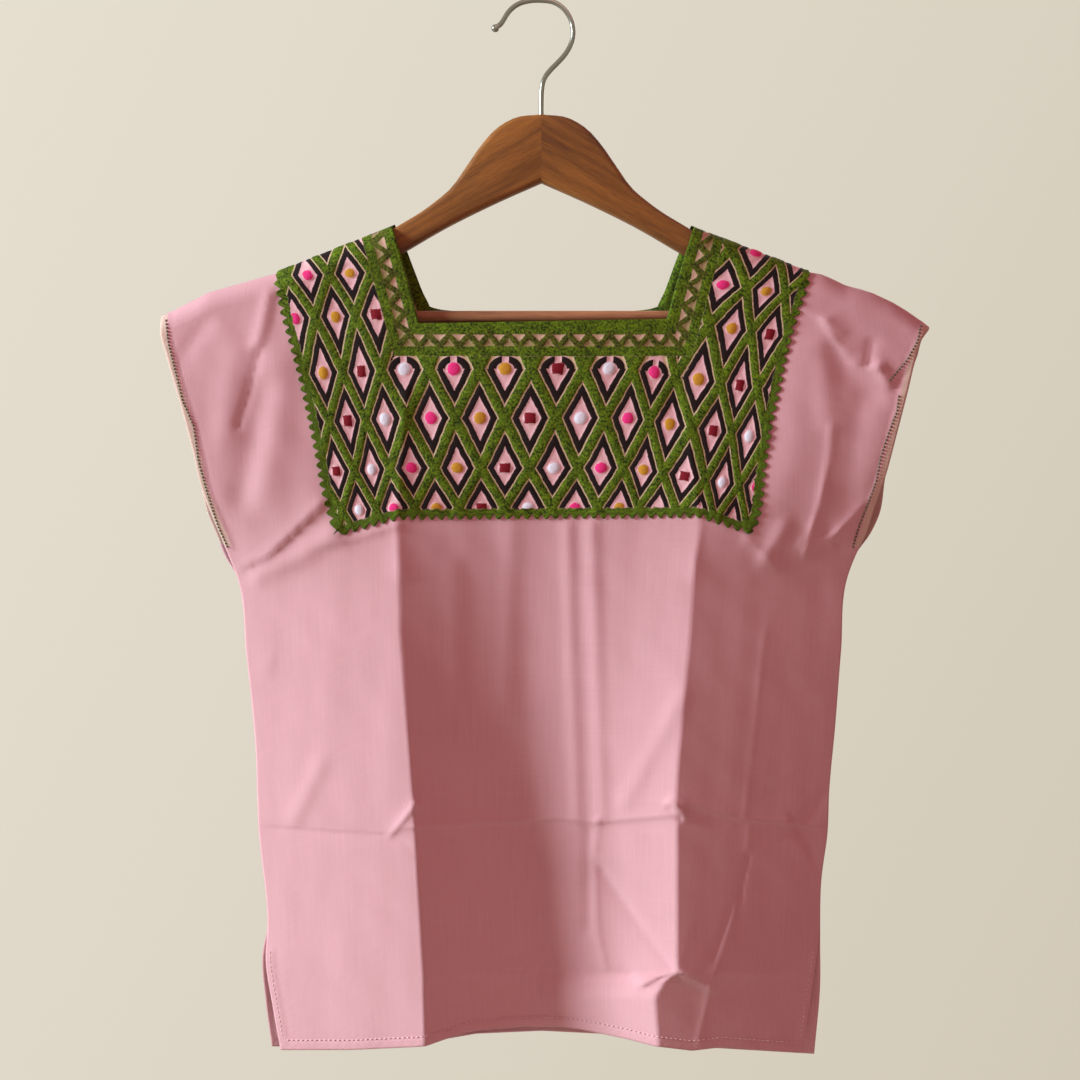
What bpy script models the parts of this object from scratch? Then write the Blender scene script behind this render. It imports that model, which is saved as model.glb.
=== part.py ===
"""Cotton blouse with an embroidered yoke, hanging on a wooden coat hanger.

Metres, +Z up, the front faces -Y. The origin is where the hook hangs: the inside of its bend.
The cloth is described in millimetres as a field: how far each panel stands in front of, or behind,
the hanger's middle plane, for a place x to the right of the centre and a drop below the hook. Those
places are as seen from the view point in front, and place() sets each point on its line of sight.
"""

import math
from bisect import bisect_right
from collections import namedtuple

import bmesh
import bpy
from mathutils import Vector, geometry

MM = 0.001

# The view point that the outlines are measured from, in mm.
VIEW_DISTANCE = 1400.0
VIEW_X = -1.0
VIEW_DROP = 360.3

# Cloth, embroidery and gaps, in mm.
CLOTH = 1.2
HEM_CLOTH = 2.1
SEAM_GAP = 0.3
FOLD_GAP = 0.5
SEAM_DEPTH = CLOTH + SEAM_GAP / 2
YOKE_LIFT = 0.82
YOKE_CLOTH = 1.0
BAND_RISE = 0.7
ARCH_DROP = 12.0
ARCH_STEPS = (0.0, 0.15, 1.5, 5.0, ARCH_DROP)

# Hanger and hook, in mm.
ARM_THICKNESS = 12.0
ARM_ROUNDING = 3.5
ARM_END_X = 221.0
ARM_END_DROPS = (211.0, 219.0)
BAR_DIAMETER = 8.0
BAR_DROP = 210.5
BAR_SEAT_X = 186.0
BAR_SOCKET = 9.0
WIRE_DIAMETER = 3.5
STEM_SEAT_DROP = 84.0
CUT_BEYOND = 30.0  # how far a tool that cuts a seat reaches out of the wood

# The shoulder fold and the hems, from left to right as x, drop.
SHOULDER = ((-256, 211), (-223, 194), (-177, 181), (-90, 146.5), (90, 146.5), (179, 180.5), (188, 182),
            (196, 185.5), (204, 189.5), (214, 192), (222, 194.5), (236, 201), (245, 206.5), (253, 212),
            (261, 218.5))
SHOULDER_RUNS = ((-177, -90), (90, 179))
FRONT_HEM = ((-175, 702.5), (-129, 702.5), (-85, 700.5), (-61, 694.5), (-44, 690.5), (-12, 688.4),
             (12, 688.4), (28, 690.5), (57, 695.8), (76, 700), (101, 703), (122, 700.5), (175, 704.5))
BACK_HEM = ((-181, 700), (-100, 700), (-70, 697), (-44, 693.5), (0, 691.5), (40, 693), (90, 699.5),
            (183, 705))
FOLD_DROP = 553.0

# Lines that run down the cloth. Each row is drop, x.
LEFT_EDGE = ((211, -255), (219, -256), (240, -251), (271, -242), (301, -234), (326, -228), (343, -224),
             (357, -218), (372, -212), (383, -205), (438, -198), (498, -192), (552, -190), (624, -184),
             (639, -185), (675, -180), (703, -175))
RIGHT_EDGE = ((219, 260), (240, 251), (260, 246), (291, 238), (317, 231), (345, 226), (357, 220),
              (368, 212), (383, 206), (435, 201), (486, 197), (530, 193), (556, 192), (586, 188),
              (629, 186), (659, 182), (703, 175))
BACK_LEFT_EDGE = LEFT_EDGE[:-3] + ((639, -187), (675, -185), (706, -181))
BACK_RIGHT_EDGE = RIGHT_EDGE[:-3] + ((629, 187), (659, 187), (706, 183))
LEFT_CREASE = ((149, -100), (215, -82), (280, -90), (346, -97), (377, -96), (421, -95), (472, -91),
               (535, -86), (553, -85), (570, -84), (654, -79), (706, -78))
RIGHT_CREASE = ((149, 102), (212, 84), (280, 95), (350, 107), (377, 103), (421, 100), (464, 96),
                (508, 92), (535, 90), (552, 91), (651, 91), (706, 93))
BACK_LEFT_CREASE = ((149, -98), (207, -75), (280, -88)) + LEFT_CREASE[3:]
BACK_RIGHT_CREASE = ((149, 100), (207, 78), (280, 93)) + RIGHT_CREASE[3:]

# Rows of the grid, from the shoulder to the hem: the drop of each where it meets the two edges and the
# two creases, and the number of steps up to it from the row above.
GridRow = namedtuple("GridRow", "left_edge left_crease right_crease right_edge steps")
FRONT_ROWS = (
    GridRow(236, 215, 212, 241, 4),  # neckline
    GridRow(283, 280, 280, 283, 3),
    GridRow(343, 346, 348, 343, 4),  # under the yoke
    GridRow(383, 380, 377, 375, 3),  # underarm
    GridRow(438, 434, 434, 435, 3),
    GridRow(553, 553, 539, 554, 6),  # pressed cross fold
    GridRow(639, 639, 639, 629, 5),  # slit top
    GridRow(694, 692, 693, 694, 3),  # hem stitch
    GridRow(703, 701, 703, 703, 1),  # hem
)
BACK_ROWS = (
    GridRow(232, 207, 207, 236, 4),
    GridRow(283, 280, 280, 283, 3),
    GridRow(343, 346, 348, 343, 3),
    GridRow(383, 380, 377, 375, 2),
    GridRow(438, 434, 434, 435, 3),
    GridRow(553, 553, 545, 554, 4),
    GridRow(639, 639, 639, 629, 4),
    GridRow(697, 697, 697, 697, 2),
    GridRow(706, 706, 706, 706, 1),
)

# How far the cloth stands out, in mm, at each drop: at the left edge, half way to the left crease, at it,
# in the middle, at the right crease, half way to the right edge, and at that edge.
Depth = namedtuple("Depth", "drop left left_mid left_crease middle right_crease right_mid right")
FRONT_DEPTH = (
    Depth(149, 11, 11, 11, 11, 11, 11, 11),
    Depth(180, 10, 11, 11, 12, 11, 11, 10),
    Depth(215, 9, 12, 12, 13, 12, 12, 9),
    Depth(245, 14, 14, 13, 14, 13, 14, 12),
    Depth(290, 17, 17, 14, 14, 15, 17, 15),
    Depth(335, 13, 19, 18, 13, 19, 18, 11),
    Depth(358, 7, 17, 21, 11, 21, 15, 6),
    Depth(383, 1.4, 15, 24, 9, 23, 13, 1.4),
    Depth(440, 1.4, 16, 28, 4, 27, 15, 1.4),
    Depth(553, 1.4, 20, 35, -3, 33, 18, 1.4),
    Depth(640, 1.6, 21, 38, -6, 37, 21, 1.6),
    Depth(706, 4, 22, 40, -8, 39, 22, 4),
)
BACK_DEPTH = (
    Depth(149, 11, 11, 11, 11, 11, 11, 11),
    Depth(180, 10, 12, 12, 13, 12, 12, 10),
    Depth(215, 9, 14, 14, 15, 14, 14, 9),
    Depth(245, 14, 16, 15, 17, 15, 16, 12),
    Depth(290, 17, 18, 16, 20, 16, 18, 15),
    Depth(335, 13, 17, 15, 22, 15, 17, 11),
    Depth(358, 7, 14, 13, 23, 13, 14, 6),
    Depth(383, 1.4, 12, 11, 24, 11, 12, 1.4),
    Depth(440, 1.4, 11, 9, 26, 9, 11, 1.4),
    Depth(553, 1.4, 9, 5, 30, 5, 9, 1.4),
    Depth(640, 1.6, 9, 4, 33, 4, 9, 1.6),
    Depth(706, 7, 11, 5, 35, 5, 11, 7),
)
VALLEY_PLACE = 0.44
VALLEY_POWER = 1.55

# Folds laid over that field: a line from one place to another, how far it stands out, and its half width.
# A step falls away below its line and dies out over its reach; a ridge falls away on both sides.
FOLD_END_FADE = 30.0
STEP_START = 1.5
STEP_FALL = 2.5
EDGE_FADE = 8.0
Fold = namedtuple("Fold", "kind x0 drop0 x1 drop1 height width")
FRONT_FOLDS = (
    Fold("step", 176, 204, 242, 262, 7.0, 22),  # sleeve cap folded over at the right
    Fold("ridge", -197, 372, -152, 345, 3.0, 10),  # drag lines under the left arm
    Fold("ridge", -146, 379, -100, 371, 2.5, 9),
    Fold("ridge", -185, 214, -196, 285, 2.5, 10),
    Fold("ridge", 139, 362, 158, 378, 2.5, 9),
    Fold("ridge", -188, 552, -102, 559, 1.8, 9),  # pressed cross fold
    Fold("ridge", -84, 552, 12, 547, 1.8, 9),
    Fold("ridge", 12, 547, 90, 545, 1.8, 9),
    Fold("ridge", 96, 540, 140, 549, 1.8, 9),
    Fold("ridge", 43, 588, 88, 648, 3.0, 14),  # slack below it at the right
    Fold("ridge", 74, 656, 111, 661, 3.0, 10),
    Fold("ridge", 190, 530, 171, 552, 2.0, 8),
)
BACK_FOLDS = (
    Fold("ridge", -190, 374, -120, 352, 3.0, 11),
    Fold("ridge", 192, 372, 118, 350, 3.0, 11),
    Fold("ridge", -185, 555, -20, 549, 1.8, 9),
    Fold("ridge", -20, 549, 180, 553, 1.8, 9),
    Fold("ridge", -30, 600, -64, 668, 3.0, 14),
    Fold("ridge", 176, 204, 225, 262, 3.0, 14),
)

Panel = namedtuple("Panel", "name side lines hem rows depth folds columns")
FRONT = Panel("front_panel", -1, (LEFT_EDGE, LEFT_CREASE, RIGHT_CREASE, RIGHT_EDGE), FRONT_HEM, FRONT_ROWS,
              FRONT_DEPTH, FRONT_FOLDS, (8, 12, 8))
BACK = Panel("back_panel", 1, (BACK_LEFT_EDGE, BACK_LEFT_CREASE, BACK_RIGHT_CREASE, BACK_RIGHT_EDGE),
             BACK_HEM, BACK_ROWS, BACK_DEPTH, BACK_FOLDS, (7, 10, 7))
HEM_COLUMN = 0.05  # where the outermost columns leave the sleeve's hem, as a share of their zone

# The yoke: its outer corners as x, drop, then its border, teeth and lattice in mm.
Yoke = namedtuple("Yoke", "name panel neck_drop neck_top_x neck_bottom_x outline_left outline_right")
YOKE_FRONT = Yoke(
    "yoke_front", FRONT, 215, (-100, 102), (-82, 84),
    ((-177, 181), (-171, 209), (-163, 238), (-155, 271), (-148, 305), (-143, 332), (-135, 358),
     (-98, 348), (-61, 346)),
    ((66, 345), (108, 346), (139, 357), (144, 340), (147, 314), (151, 287), (157, 258), (163, 231),
     (171, 205), (179, 181)))
YOKE_BACK = Yoke(
    "yoke_back", BACK, 207, (-98, 100), (-75, 78),
    ((-177, 181), (-171, 209), (-163, 238), (-155, 271), (-150, 300), (-96, 300), (-40, 300)),
    ((40, 300), (98, 300), (152, 300), (157, 271), (163, 238), (171, 209), (179, 181)))
NECK_TOP_DROP = 149.0
NECK_FOLD_DROP = 151.0
NECK_CUT_DROP = 140.0
TOOTH_PITCH = 6.4
TOOTH_HEIGHT = 3.4
NECK_EDGE_BAND = 7.5
NECK_BORDER_IN = 16.5
NECK_BORDER_OUT = 22.0
LONGEST_STEP = 22.0
LATTICE_ACROSS = 32.5
LATTICE_DOWN = 66.5
LATTICE_X = 8.75
LATTICE_DROP = 245.0
LATTICE_BAND = 7.0

# Hanger arm from the middle outwards, along its top and its underside. Each row is drop, x.
ARM_TOP = ((75.2, 0), (78.2, 19.5), (87.2, 33), (96.6, 41), (110.7, 50.7), (122, 59), (131.5, 70.5),
           (141, 83.2), (150, 93), (154.8, 101), (169, 138), (184.4, 177), (199.8, 203), (204, 214))
ARM_UNDER = ((120.8, 0), (134.2, 30.2), (151.6, 65.1), (168.4, 93.9), (188.6, 128.8), (206, 161.7),
             (218, 190), (225, 213))
# Hook wire from its ball tip to the wood, as x, z.
HOOK_ROUTE = ((-33.2, -18.4), (-30.1, -16.3), (-27, -13.6), (-24.9, -10.4), (-22.3, -6.3), (-18.6, -2.6),
              (-14, 0), (-9.1, 1.3), (0, 1.8), (8.8, 0.3), (13.8, -2.8), (17.8, -7.4), (20.4, -13),
              (21.3, -18.5), (20.9, -24), (18.9, -29.6), (15.5, -34.9), (11, -39.9), (6.1, -44.9),
              (2.8, -49.2), (1.1, -53.3), (0.3, -58.5), (0, -65.1))
HOOK_POINTS = 32
HOOK_SIDES = 3
BALL_RADIUS = 2.7
BALL_FLAT = 0.9
BALL_STOPS = (0.0, 0.9, 2.1, 3.6, 4.8, 5.6)

PINK_COTTON = ((0.72, 0.31, 0.38, 1), 0.85, 0.0)
GREEN_THREAD = ((0.08, 0.18, 0.02, 1), 0.7, 0.0)
WALNUT = ((0.16, 0.06, 0.03, 1), 0.4, 0.0)
STEEL = ((0.6, 0.6, 0.6, 1), 0.3, 1.0)


def spline(points, at):
    """The value at a place along a smooth curve through (place, value) pairs."""
    places = [p[0] for p in points]
    i = min(max(bisect_right(places, at) - 1, 0), len(points) - 2)
    (a, va), (b, vb) = points[i], points[i + 1]
    before = points[i - 1] if i else points[i]
    after = points[i + 2] if i + 2 < len(points) else points[i + 1]
    slope_a = (vb - before[1]) / (b - before[0])
    slope_b = (after[1] - va) / (after[0] - a)
    t = min(max((at - a) / (b - a), 0), 1)
    span = b - a
    return ((2 * t**3 - 3 * t**2 + 1) * va + (t**3 - 2 * t**2 + t) * span * slope_a
            + (3 * t**2 - 2 * t**3) * vb + (t**3 - t**2) * span * slope_b)


def straight(points, at):
    """The value at a place along the straight runs through (place, value) pairs."""
    places = [p[0] for p in points]
    i = min(max(bisect_right(places, at) - 1, 0), len(points) - 2)
    (a, va), (b, vb) = points[i], points[i + 1]
    return va + (vb - va) * min(max((at - a) / (b - a), 0), 1)


def shoulder_drop(x):
    return straight(SHOULDER, x)


def arch(below_shoulder):
    """From 0 at the shoulder fold to 1 where the cloth hangs straight."""
    t = min(max(below_shoulder / ARCH_DROP, 0), 1)
    return math.sqrt(1 - (1 - t) ** 2)


def fold_depth(fold, x, drop):
    start, run = Vector((fold.x0, fold.drop0)), Vector((fold.x1 - fold.x0, fold.drop1 - fold.drop0))
    offset = Vector((x, drop)) - start
    along = offset.dot(run) / run.length_squared
    away = (run.x * offset.y - run.y * offset.x) / run.length
    fade = math.exp(-max(0, -along, along - 1) ** 2 * FOLD_END_FADE)
    if fold.kind == "step":
        fade *= min(max(along * STEP_START, 0), 1)
        return fade * fold.height * math.exp(away / fold.width if away < 0 else -away / STEP_FALL)
    return fade * fold.height * math.exp(-((away / fold.width) ** 2))


def zone_of(lines, x, drop):
    """Which of the three zones a place is in, and how far across that zone, from 0 to 1."""
    edges = [straight(line, drop) for line in lines]
    zone = 0 if x < edges[1] else 1 if x < edges[2] else 2
    across = (x - edges[zone]) / (edges[zone + 1] - edges[zone])
    return zone, min(max(across, 0), 1)


def through_three(first, middle, last, t):
    """A parabola through three values at t = 0, 0.5 and 1."""
    return first * (1 - t) * (1 - 2 * t) + 4 * middle * t * (1 - t) + last * t * (2 * t - 1)


def depth_at(panel, x, drop):
    """How far a panel's outer face stands out from the hanger's middle plane."""
    row = [spline([(d.drop, d[i]) for d in panel.depth], drop) for i in range(1, 8)]
    row[0], row[6] = max(row[0], SEAM_DEPTH), max(row[6], SEAM_DEPTH)
    zone, t = zone_of(panel.lines, x, drop)
    if zone == 0:
        depth = through_three(row[0], row[1], row[2], t)
    elif zone == 2:
        depth = through_three(row[4], row[5], row[6], t)
    elif t < VALLEY_PLACE:
        depth = row[3] + (row[2] - row[3]) * (1 - t / VALLEY_PLACE) ** VALLEY_POWER
    else:
        depth = row[3] + (row[4] - row[3]) * ((t - VALLEY_PLACE) / (1 - VALLEY_PLACE)) ** VALLEY_POWER
    from_edge = {0: t, 1: 1.0, 2: 1 - t}[zone]
    depth += min(1, EDGE_FADE * from_edge) * sum(fold_depth(fold, x, drop) for fold in panel.folds)
    rim = FOLD_GAP / 2
    return rim + (depth - rim) * arch(drop - shoulder_drop(x))


def place(panel, x, drop):
    """A point of a panel's outer face. Nearer cloth is seen larger, so it lies further in."""
    y = panel.side * depth_at(panel, x, drop)
    scale = 1 + y / VIEW_DISTANCE
    return Vector((VIEW_X + (x - VIEW_X) * scale, y, -VIEW_DROP - (drop - VIEW_DROP) * scale)) * MM


def outward(panel, x, drop, step=0.4):
    """The unit normal of a panel's outer face."""
    drop = max(drop, shoulder_drop(x) + step / 8)
    across = place(panel, x + step, drop) - place(panel, x - step, drop)
    down = place(panel, x, drop + step) - place(panel, x, max(drop - step, shoulder_drop(x)))
    return across.cross(down).normalized() * panel.side


def line_tops(panel):
    """The drop at which each of the four lines leaves the shoulder fold."""
    return [min(shoulder_drop(line[0][1]), line[0][0]) for line in panel.lines]


def grid_rows(panel):
    """Each row's drop at the four lines, and how much of the shoulder's shape it keeps."""
    rows = [([top + step for top in line_tops(panel)], 1.0) for step in ARCH_STEPS]
    above = rows[-1][0]
    for index, row in enumerate(panel.rows):
        for step in range(1, row.steps + 1):
            t = step / row.steps
            drops = [a + (b - a) * t for a, b in zip(above, row[:4])]
            rows.append((drops, 1 - t if index == 0 else 0.0))
        above = row[:4]
    return rows


def grid_columns(panel):
    """Each column's zone and its place across it; the outermost ones leave the sleeve's hem."""
    columns = []
    for zone, count in enumerate(panel.columns):
        steps = [i / count for i in range(count + (zone == 2))]
        if zone == 0:
            steps.insert(1, HEM_COLUMN)
        if zone == 2:
            steps.insert(-1, 1 - HEM_COLUMN)
        columns += [(zone, t) for t in steps]
    return columns


def row_point(panel, row, zone, t):
    """A grid point's x and drop: near the top the row follows the shoulder, near the bottom the hem."""
    drops, kept = row
    left, right = panel.lines[zone], panel.lines[zone + 1]
    drop = drops[zone] * (1 - t) + drops[zone + 1] * t
    x = straight(left, drops[zone]) * (1 - t) + straight(right, drops[zone + 1]) * t
    tops = line_tops(panel)
    drop += kept * (shoulder_drop(x) - tops[zone] * (1 - t) - tops[zone + 1] * t)
    lowest = panel.rows[-1][zone] * (1 - t) + panel.rows[-1][zone + 1] * t
    hem_share = min(max((drop - FOLD_DROP) / (lowest - FOLD_DROP), 0), 1)
    return x, drop + (straight(panel.hem, x) - lowest) * hem_share


def in_neck(panel, row_index, zone):
    return zone == 1 and row_index < len(ARCH_STEPS) - 1 + panel.rows[0].steps


def new_object(name, mesh_builder, material):
    mesh = bpy.data.meshes.new(name)
    mesh_builder.to_mesh(mesh)
    mesh_builder.free()
    obj = bpy.data.objects.new(name, mesh)
    bpy.context.collection.objects.link(obj)
    obj.data.materials.append(material)
    return obj


def material_of(name, look):
    colour, roughness, metallic = look
    material = bpy.data.materials.new(name)
    material.use_nodes = True
    shader = material.node_tree.nodes["Principled BSDF"]
    shader.inputs["Base Color"].default_value = colour
    shader.inputs["Roughness"].default_value = roughness
    shader.inputs["Metallic"].default_value = metallic
    return material


def cloth_panel(panel, material):
    """One panel: a grid over the field, open at the neck, given its wall inwards."""
    bm = bmesh.new()
    rows, columns = grid_rows(panel), grid_columns(panel)
    points = [[bm.verts.new(place(panel, *row_point(panel, row, *column))) for column in columns]
              for row in rows]
    for r in range(len(rows) - 1):
        for c in range(len(columns) - 1):
            if in_neck(panel, r, columns[c][0]):
                continue
            corners = (points[r][c], points[r + 1][c], points[r + 1][c + 1], points[r][c + 1])
            bm.faces.new(corners[::-panel.side])
    bmesh.ops.delete(bm, geom=[v for v in bm.verts if not v.link_faces], context="VERTS")
    obj = new_object(panel.name, bm, material)
    thin = obj.vertex_groups.new(name="wall")
    share = CLOTH / HEM_CLOTH
    kept = {tuple(v.co): v.index for v in obj.data.vertices}
    last_row, last_column = len(rows) - 1, len(columns) - 1
    for r, row in enumerate(rows):
        for c, column in enumerate(columns):
            point = place(panel, *row_point(panel, row, *column))
            index = kept.get(tuple(point))
            if index is None:
                continue
            hem = r >= last_row - 1 or (c in (0, 1, last_column - 1, last_column)
                                        and len(ARCH_STEPS) < r and row[0][0] < panel.rows[2].left_edge)
            thin.add([index], 1.0 if hem else share, "REPLACE")
    wall = obj.modifiers.new("wall", "SOLIDIFY")
    wall.thickness = HEM_CLOTH * MM
    wall.offset = -1
    wall.vertex_group = thin.name
    return obj


def neck_lean(yoke):
    """How far the neckline's sides lean in for each mm down."""
    return (yoke.neck_bottom_x[0] - yoke.neck_top_x[0]) / (yoke.neck_drop - NECK_TOP_DROP)


def neck_line(yoke, away):
    """The neckline moved outwards by a distance: top left, bottom left, bottom right, top right."""
    (top_l, top_r), (low_l, low_r) = yoke.neck_top_x, yoke.neck_bottom_x
    bottom = yoke.neck_drop + away
    lean = neck_lean(yoke)
    side = away * math.hypot(1, lean)
    reach = lean * (NECK_TOP_DROP - NECK_CUT_DROP)
    return ((top_l - side - reach, NECK_CUT_DROP), (low_l - side + lean * away, bottom),
            (low_r + side - lean * away, bottom), (top_r + side + reach, NECK_CUT_DROP))


def beyond_neck(yoke, x, drop):
    """How far outside the neckline a place lies."""
    lean = neck_lean(yoke)
    left = yoke.neck_top_x[0] + lean * (drop - NECK_TOP_DROP) - x
    right = x - yoke.neck_top_x[1] + lean * (drop - NECK_TOP_DROP)
    return max(left, right) / math.hypot(1, lean), drop - yoke.neck_drop


def toothed(points):
    """A row of teeth along straight runs between points, with the yoke to the left of each run."""
    out = []
    for (x0, d0), (x1, d1) in zip(points, points[1:]):
        run = Vector((x1 - x0, d1 - d0))
        teeth = max(1, round(run.length / TOOTH_PITCH))
        off = Vector((run.y, -run.x)).normalized() * TOOTH_HEIGHT
        for i in range(teeth):
            start = Vector((x0, d0)) + run * (i / teeth)
            tip = Vector((x0, d0)) + run * ((i + 0.5) / teeth)
            out += [tuple(start + off), tuple(tip)]
    out.append(tuple(Vector(points[-1]) + off))
    return out


def yoke_outline(yoke):
    """The whole edge: teeth outside, shoulder folds, and the square neckline."""
    outside = toothed(yoke.outline_left + yoke.outline_right)
    outside = [(x, max(d, shoulder_drop(x))) for x, d in outside]
    outside[0] = (outside[0][0], shoulder_drop(outside[0][0]))
    outside[-1] = (outside[-1][0], shoulder_drop(outside[-1][0]))
    low_left, low_right = neck_line(yoke, 0)[1:3]
    turned_in = neck_lean(yoke) * (NECK_FOLD_DROP - NECK_TOP_DROP)
    left_x, right_x = yoke.neck_top_x[0] + turned_in, yoke.neck_top_x[1] - turned_in
    top_left, top_right = (left_x, shoulder_drop(left_x)), (right_x, shoulder_drop(right_x))
    right_fold = split_runs((outside[-1], top_right))[1:-1]
    left_fold = split_runs((top_left, outside[0]))[1:-1]
    return outside + right_fold + split_runs((top_right, low_right, low_left, top_left)) + left_fold


def split_runs(points):
    """Straight runs with points added, so that no step is longer than the cloth's bend allows."""
    out = [tuple(points[0])]
    for (x0, d0), (x1, d1) in zip(points, points[1:]):
        pieces = math.ceil(math.hypot(x1 - x0, d1 - d0) / LONGEST_STEP)
        out += [(x0 + (x1 - x0) * i / pieces, d0 + (d1 - d0) * i / pieces) for i in range(1, pieces + 1)]
    return out


def lattice_place(x, drop):
    across, down = (x - LATTICE_X) / LATTICE_ACROSS, (drop - LATTICE_DROP) / LATTICE_DOWN
    return across + down, across - down


def lattice_half_band():
    return LATTICE_BAND / 2 * math.hypot(1 / LATTICE_ACROSS, 1 / LATTICE_DOWN)


def is_raised(yoke, x, drop):
    """True on the green bands: round the neck and crossing in the lattice."""
    beside, below = beyond_neck(yoke, x, drop)
    border = max(beside, below)
    if border < NECK_BORDER_OUT:
        return border < NECK_EDGE_BAND or border > NECK_BORDER_IN
    half = lattice_half_band()
    return any(abs(place - math.floor(place) - 0.5) < half for place in lattice_place(x, drop))


def lattice_lines(low, high):
    """The straight edges of every band across a rectangle, as pairs of points."""
    half = lattice_half_band()
    lines = []
    corners = [lattice_place(x, d) for x in (low[0], high[0]) for d in (low[1], high[1])]
    for family in (0, 1):
        values = [corner[family] for corner in corners]
        for number in range(math.floor(min(values)), math.ceil(max(values)) + 1):
            for level in (number + 0.5 - half, number + 0.5 + half):
                ends = []
                for drop in (low[1], high[1]):
                    down = (drop - LATTICE_DROP) / LATTICE_DOWN
                    across = level - down if family == 0 else level + down
                    ends.append((LATTICE_X + across * LATTICE_ACROSS, drop))
                lines.append(ends)
    return lines


def outside_border(border, start, end):
    """The parts of a straight run that lie outside the border round the neck."""
    start, end = Vector(start), Vector(end)
    stops = {0.0, 1.0}
    for a, b in zip(border, border[1:]):
        meet = geometry.intersect_line_line_2d(start, end, Vector(a), Vector(b))
        if meet:
            stops.add((meet - start).length / (end - start).length)
    stops = sorted(stops)
    runs = []
    for t0, t1 in zip(stops, stops[1:]):
        a, b = start.lerp(end, t0), start.lerp(end, t1)
        if not inside_outline(border, *((a + b) / 2)):
            runs.append((a, b))
    return runs


def lattice_centres(low, high):
    """The middle of each diamond in a rectangle."""
    rows = range(math.floor((low[1] - LATTICE_DROP) / LATTICE_DOWN * 2),
                 math.ceil((high[1] - LATTICE_DROP) / LATTICE_DOWN * 2) + 1)
    places = range(math.floor(low[0] / LATTICE_ACROSS) - 1, math.ceil(high[0] / LATTICE_ACROSS) + 1)
    return [Vector((LATTICE_X + (place + row % 2 / 2) * LATTICE_ACROSS,
                    LATTICE_DROP + row / 2 * LATTICE_DOWN)) for row in rows for place in places]


def inside_outline(outline, x, drop):
    inside = False
    for (x0, d0), (x1, d1) in zip(outline, outline[1:] + outline[:1]):
        if (d0 > drop) != (d1 > drop) and x < x0 + (drop - d0) * (x1 - x0) / (d1 - d0):
            inside = not inside
    return inside


def flat_yoke(yoke):
    """The yoke's pieces in its own flat plane: points and triangles, cut along every band's edge."""
    outline = yoke_outline(yoke)
    points = [Vector(p) for p in outline]
    edges = [(i, (i + 1) % len(points)) for i in range(len(points))]
    low = (min(p[0] for p in outline) - 1, min(p[1] for p in outline) - 1)
    high = (max(p[0] for p in outline) + 1, max(p[1] for p in outline) + 1)
    around = neck_line(yoke, NECK_BORDER_OUT)
    runs = [run for line in lattice_lines(low, high) for run in outside_border(around, *line)]
    for away in (NECK_EDGE_BAND, NECK_BORDER_IN, NECK_BORDER_OUT):
        border = split_runs(neck_line(yoke, away))
        runs += list(zip(border, border[1:]))
    for step in ARCH_STEPS[1:]:
        for x0, x1 in SHOULDER_RUNS:
            runs.append(((x0, shoulder_drop(x0) + step), (x1, shoulder_drop(x1) + step)))
    for a, b in runs:
        edges.append((len(points), len(points) + 1))
        points += [Vector(a), Vector(b)]
    points += lattice_centres(low, high)
    found = geometry.delaunay_2d_cdt(points, edges, [], 0, 1e-4)
    kept = []
    for face in found[2]:
        centre = sum((found[0][i] for i in face), Vector((0, 0))) / len(face)
        if inside_outline(outline, centre.x, centre.y):
            kept.append(face)
    return found[0], kept


def yoke_piece(yoke, material):
    """The embroidered yoke: a toothed sheet on the panel, its bands raised on the outer face only."""
    flat_points, flat_faces = flat_yoke(yoke)
    bm = bmesh.new()
    verts = [bm.verts.new((p.x, 0, p.y)) for p in flat_points]
    for face in flat_faces:
        bm.faces.new([verts[i] for i in face])
    bmesh.ops.delete(bm, geom=[v for v in bm.verts if not v.link_faces], context="VERTS")
    sheet = bmesh.ops.extrude_face_region(bm, geom=bm.faces[:])["geom"]
    bmesh.ops.translate(bm, vec=(0, YOKE_CLOTH, 0),
                        verts=[g for g in sheet if isinstance(g, bmesh.types.BMVert)])
    bands = [g for g in sheet if isinstance(g, bmesh.types.BMFace)
             and is_raised(yoke, g.calc_center_median().x, g.calc_center_median().z)]
    raised = bmesh.ops.extrude_face_region(bm, geom=bands)["geom"]
    bmesh.ops.delete(bm, geom=bands, context="FACES")
    bmesh.ops.translate(bm, vec=(0, BAND_RISE, 0),
                        verts=[g for g in raised if isinstance(g, bmesh.types.BMVert)])
    bmesh.ops.triangulate(bm, faces=bm.faces[:])
    for vert in bm.verts:
        x, height, drop = vert.co
        surface = place(yoke.panel, x, drop)
        vert.co = surface + outward(yoke.panel, x, drop) * ((YOKE_LIFT + height) * MM)
    bmesh.ops.recalc_face_normals(bm, faces=bm.faces[:])
    if bm.calc_volume(signed=True) < 0:
        bmesh.ops.reverse_faces(bm, faces=bm.faces[:])
    return new_object(yoke.name, bm, material)


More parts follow.
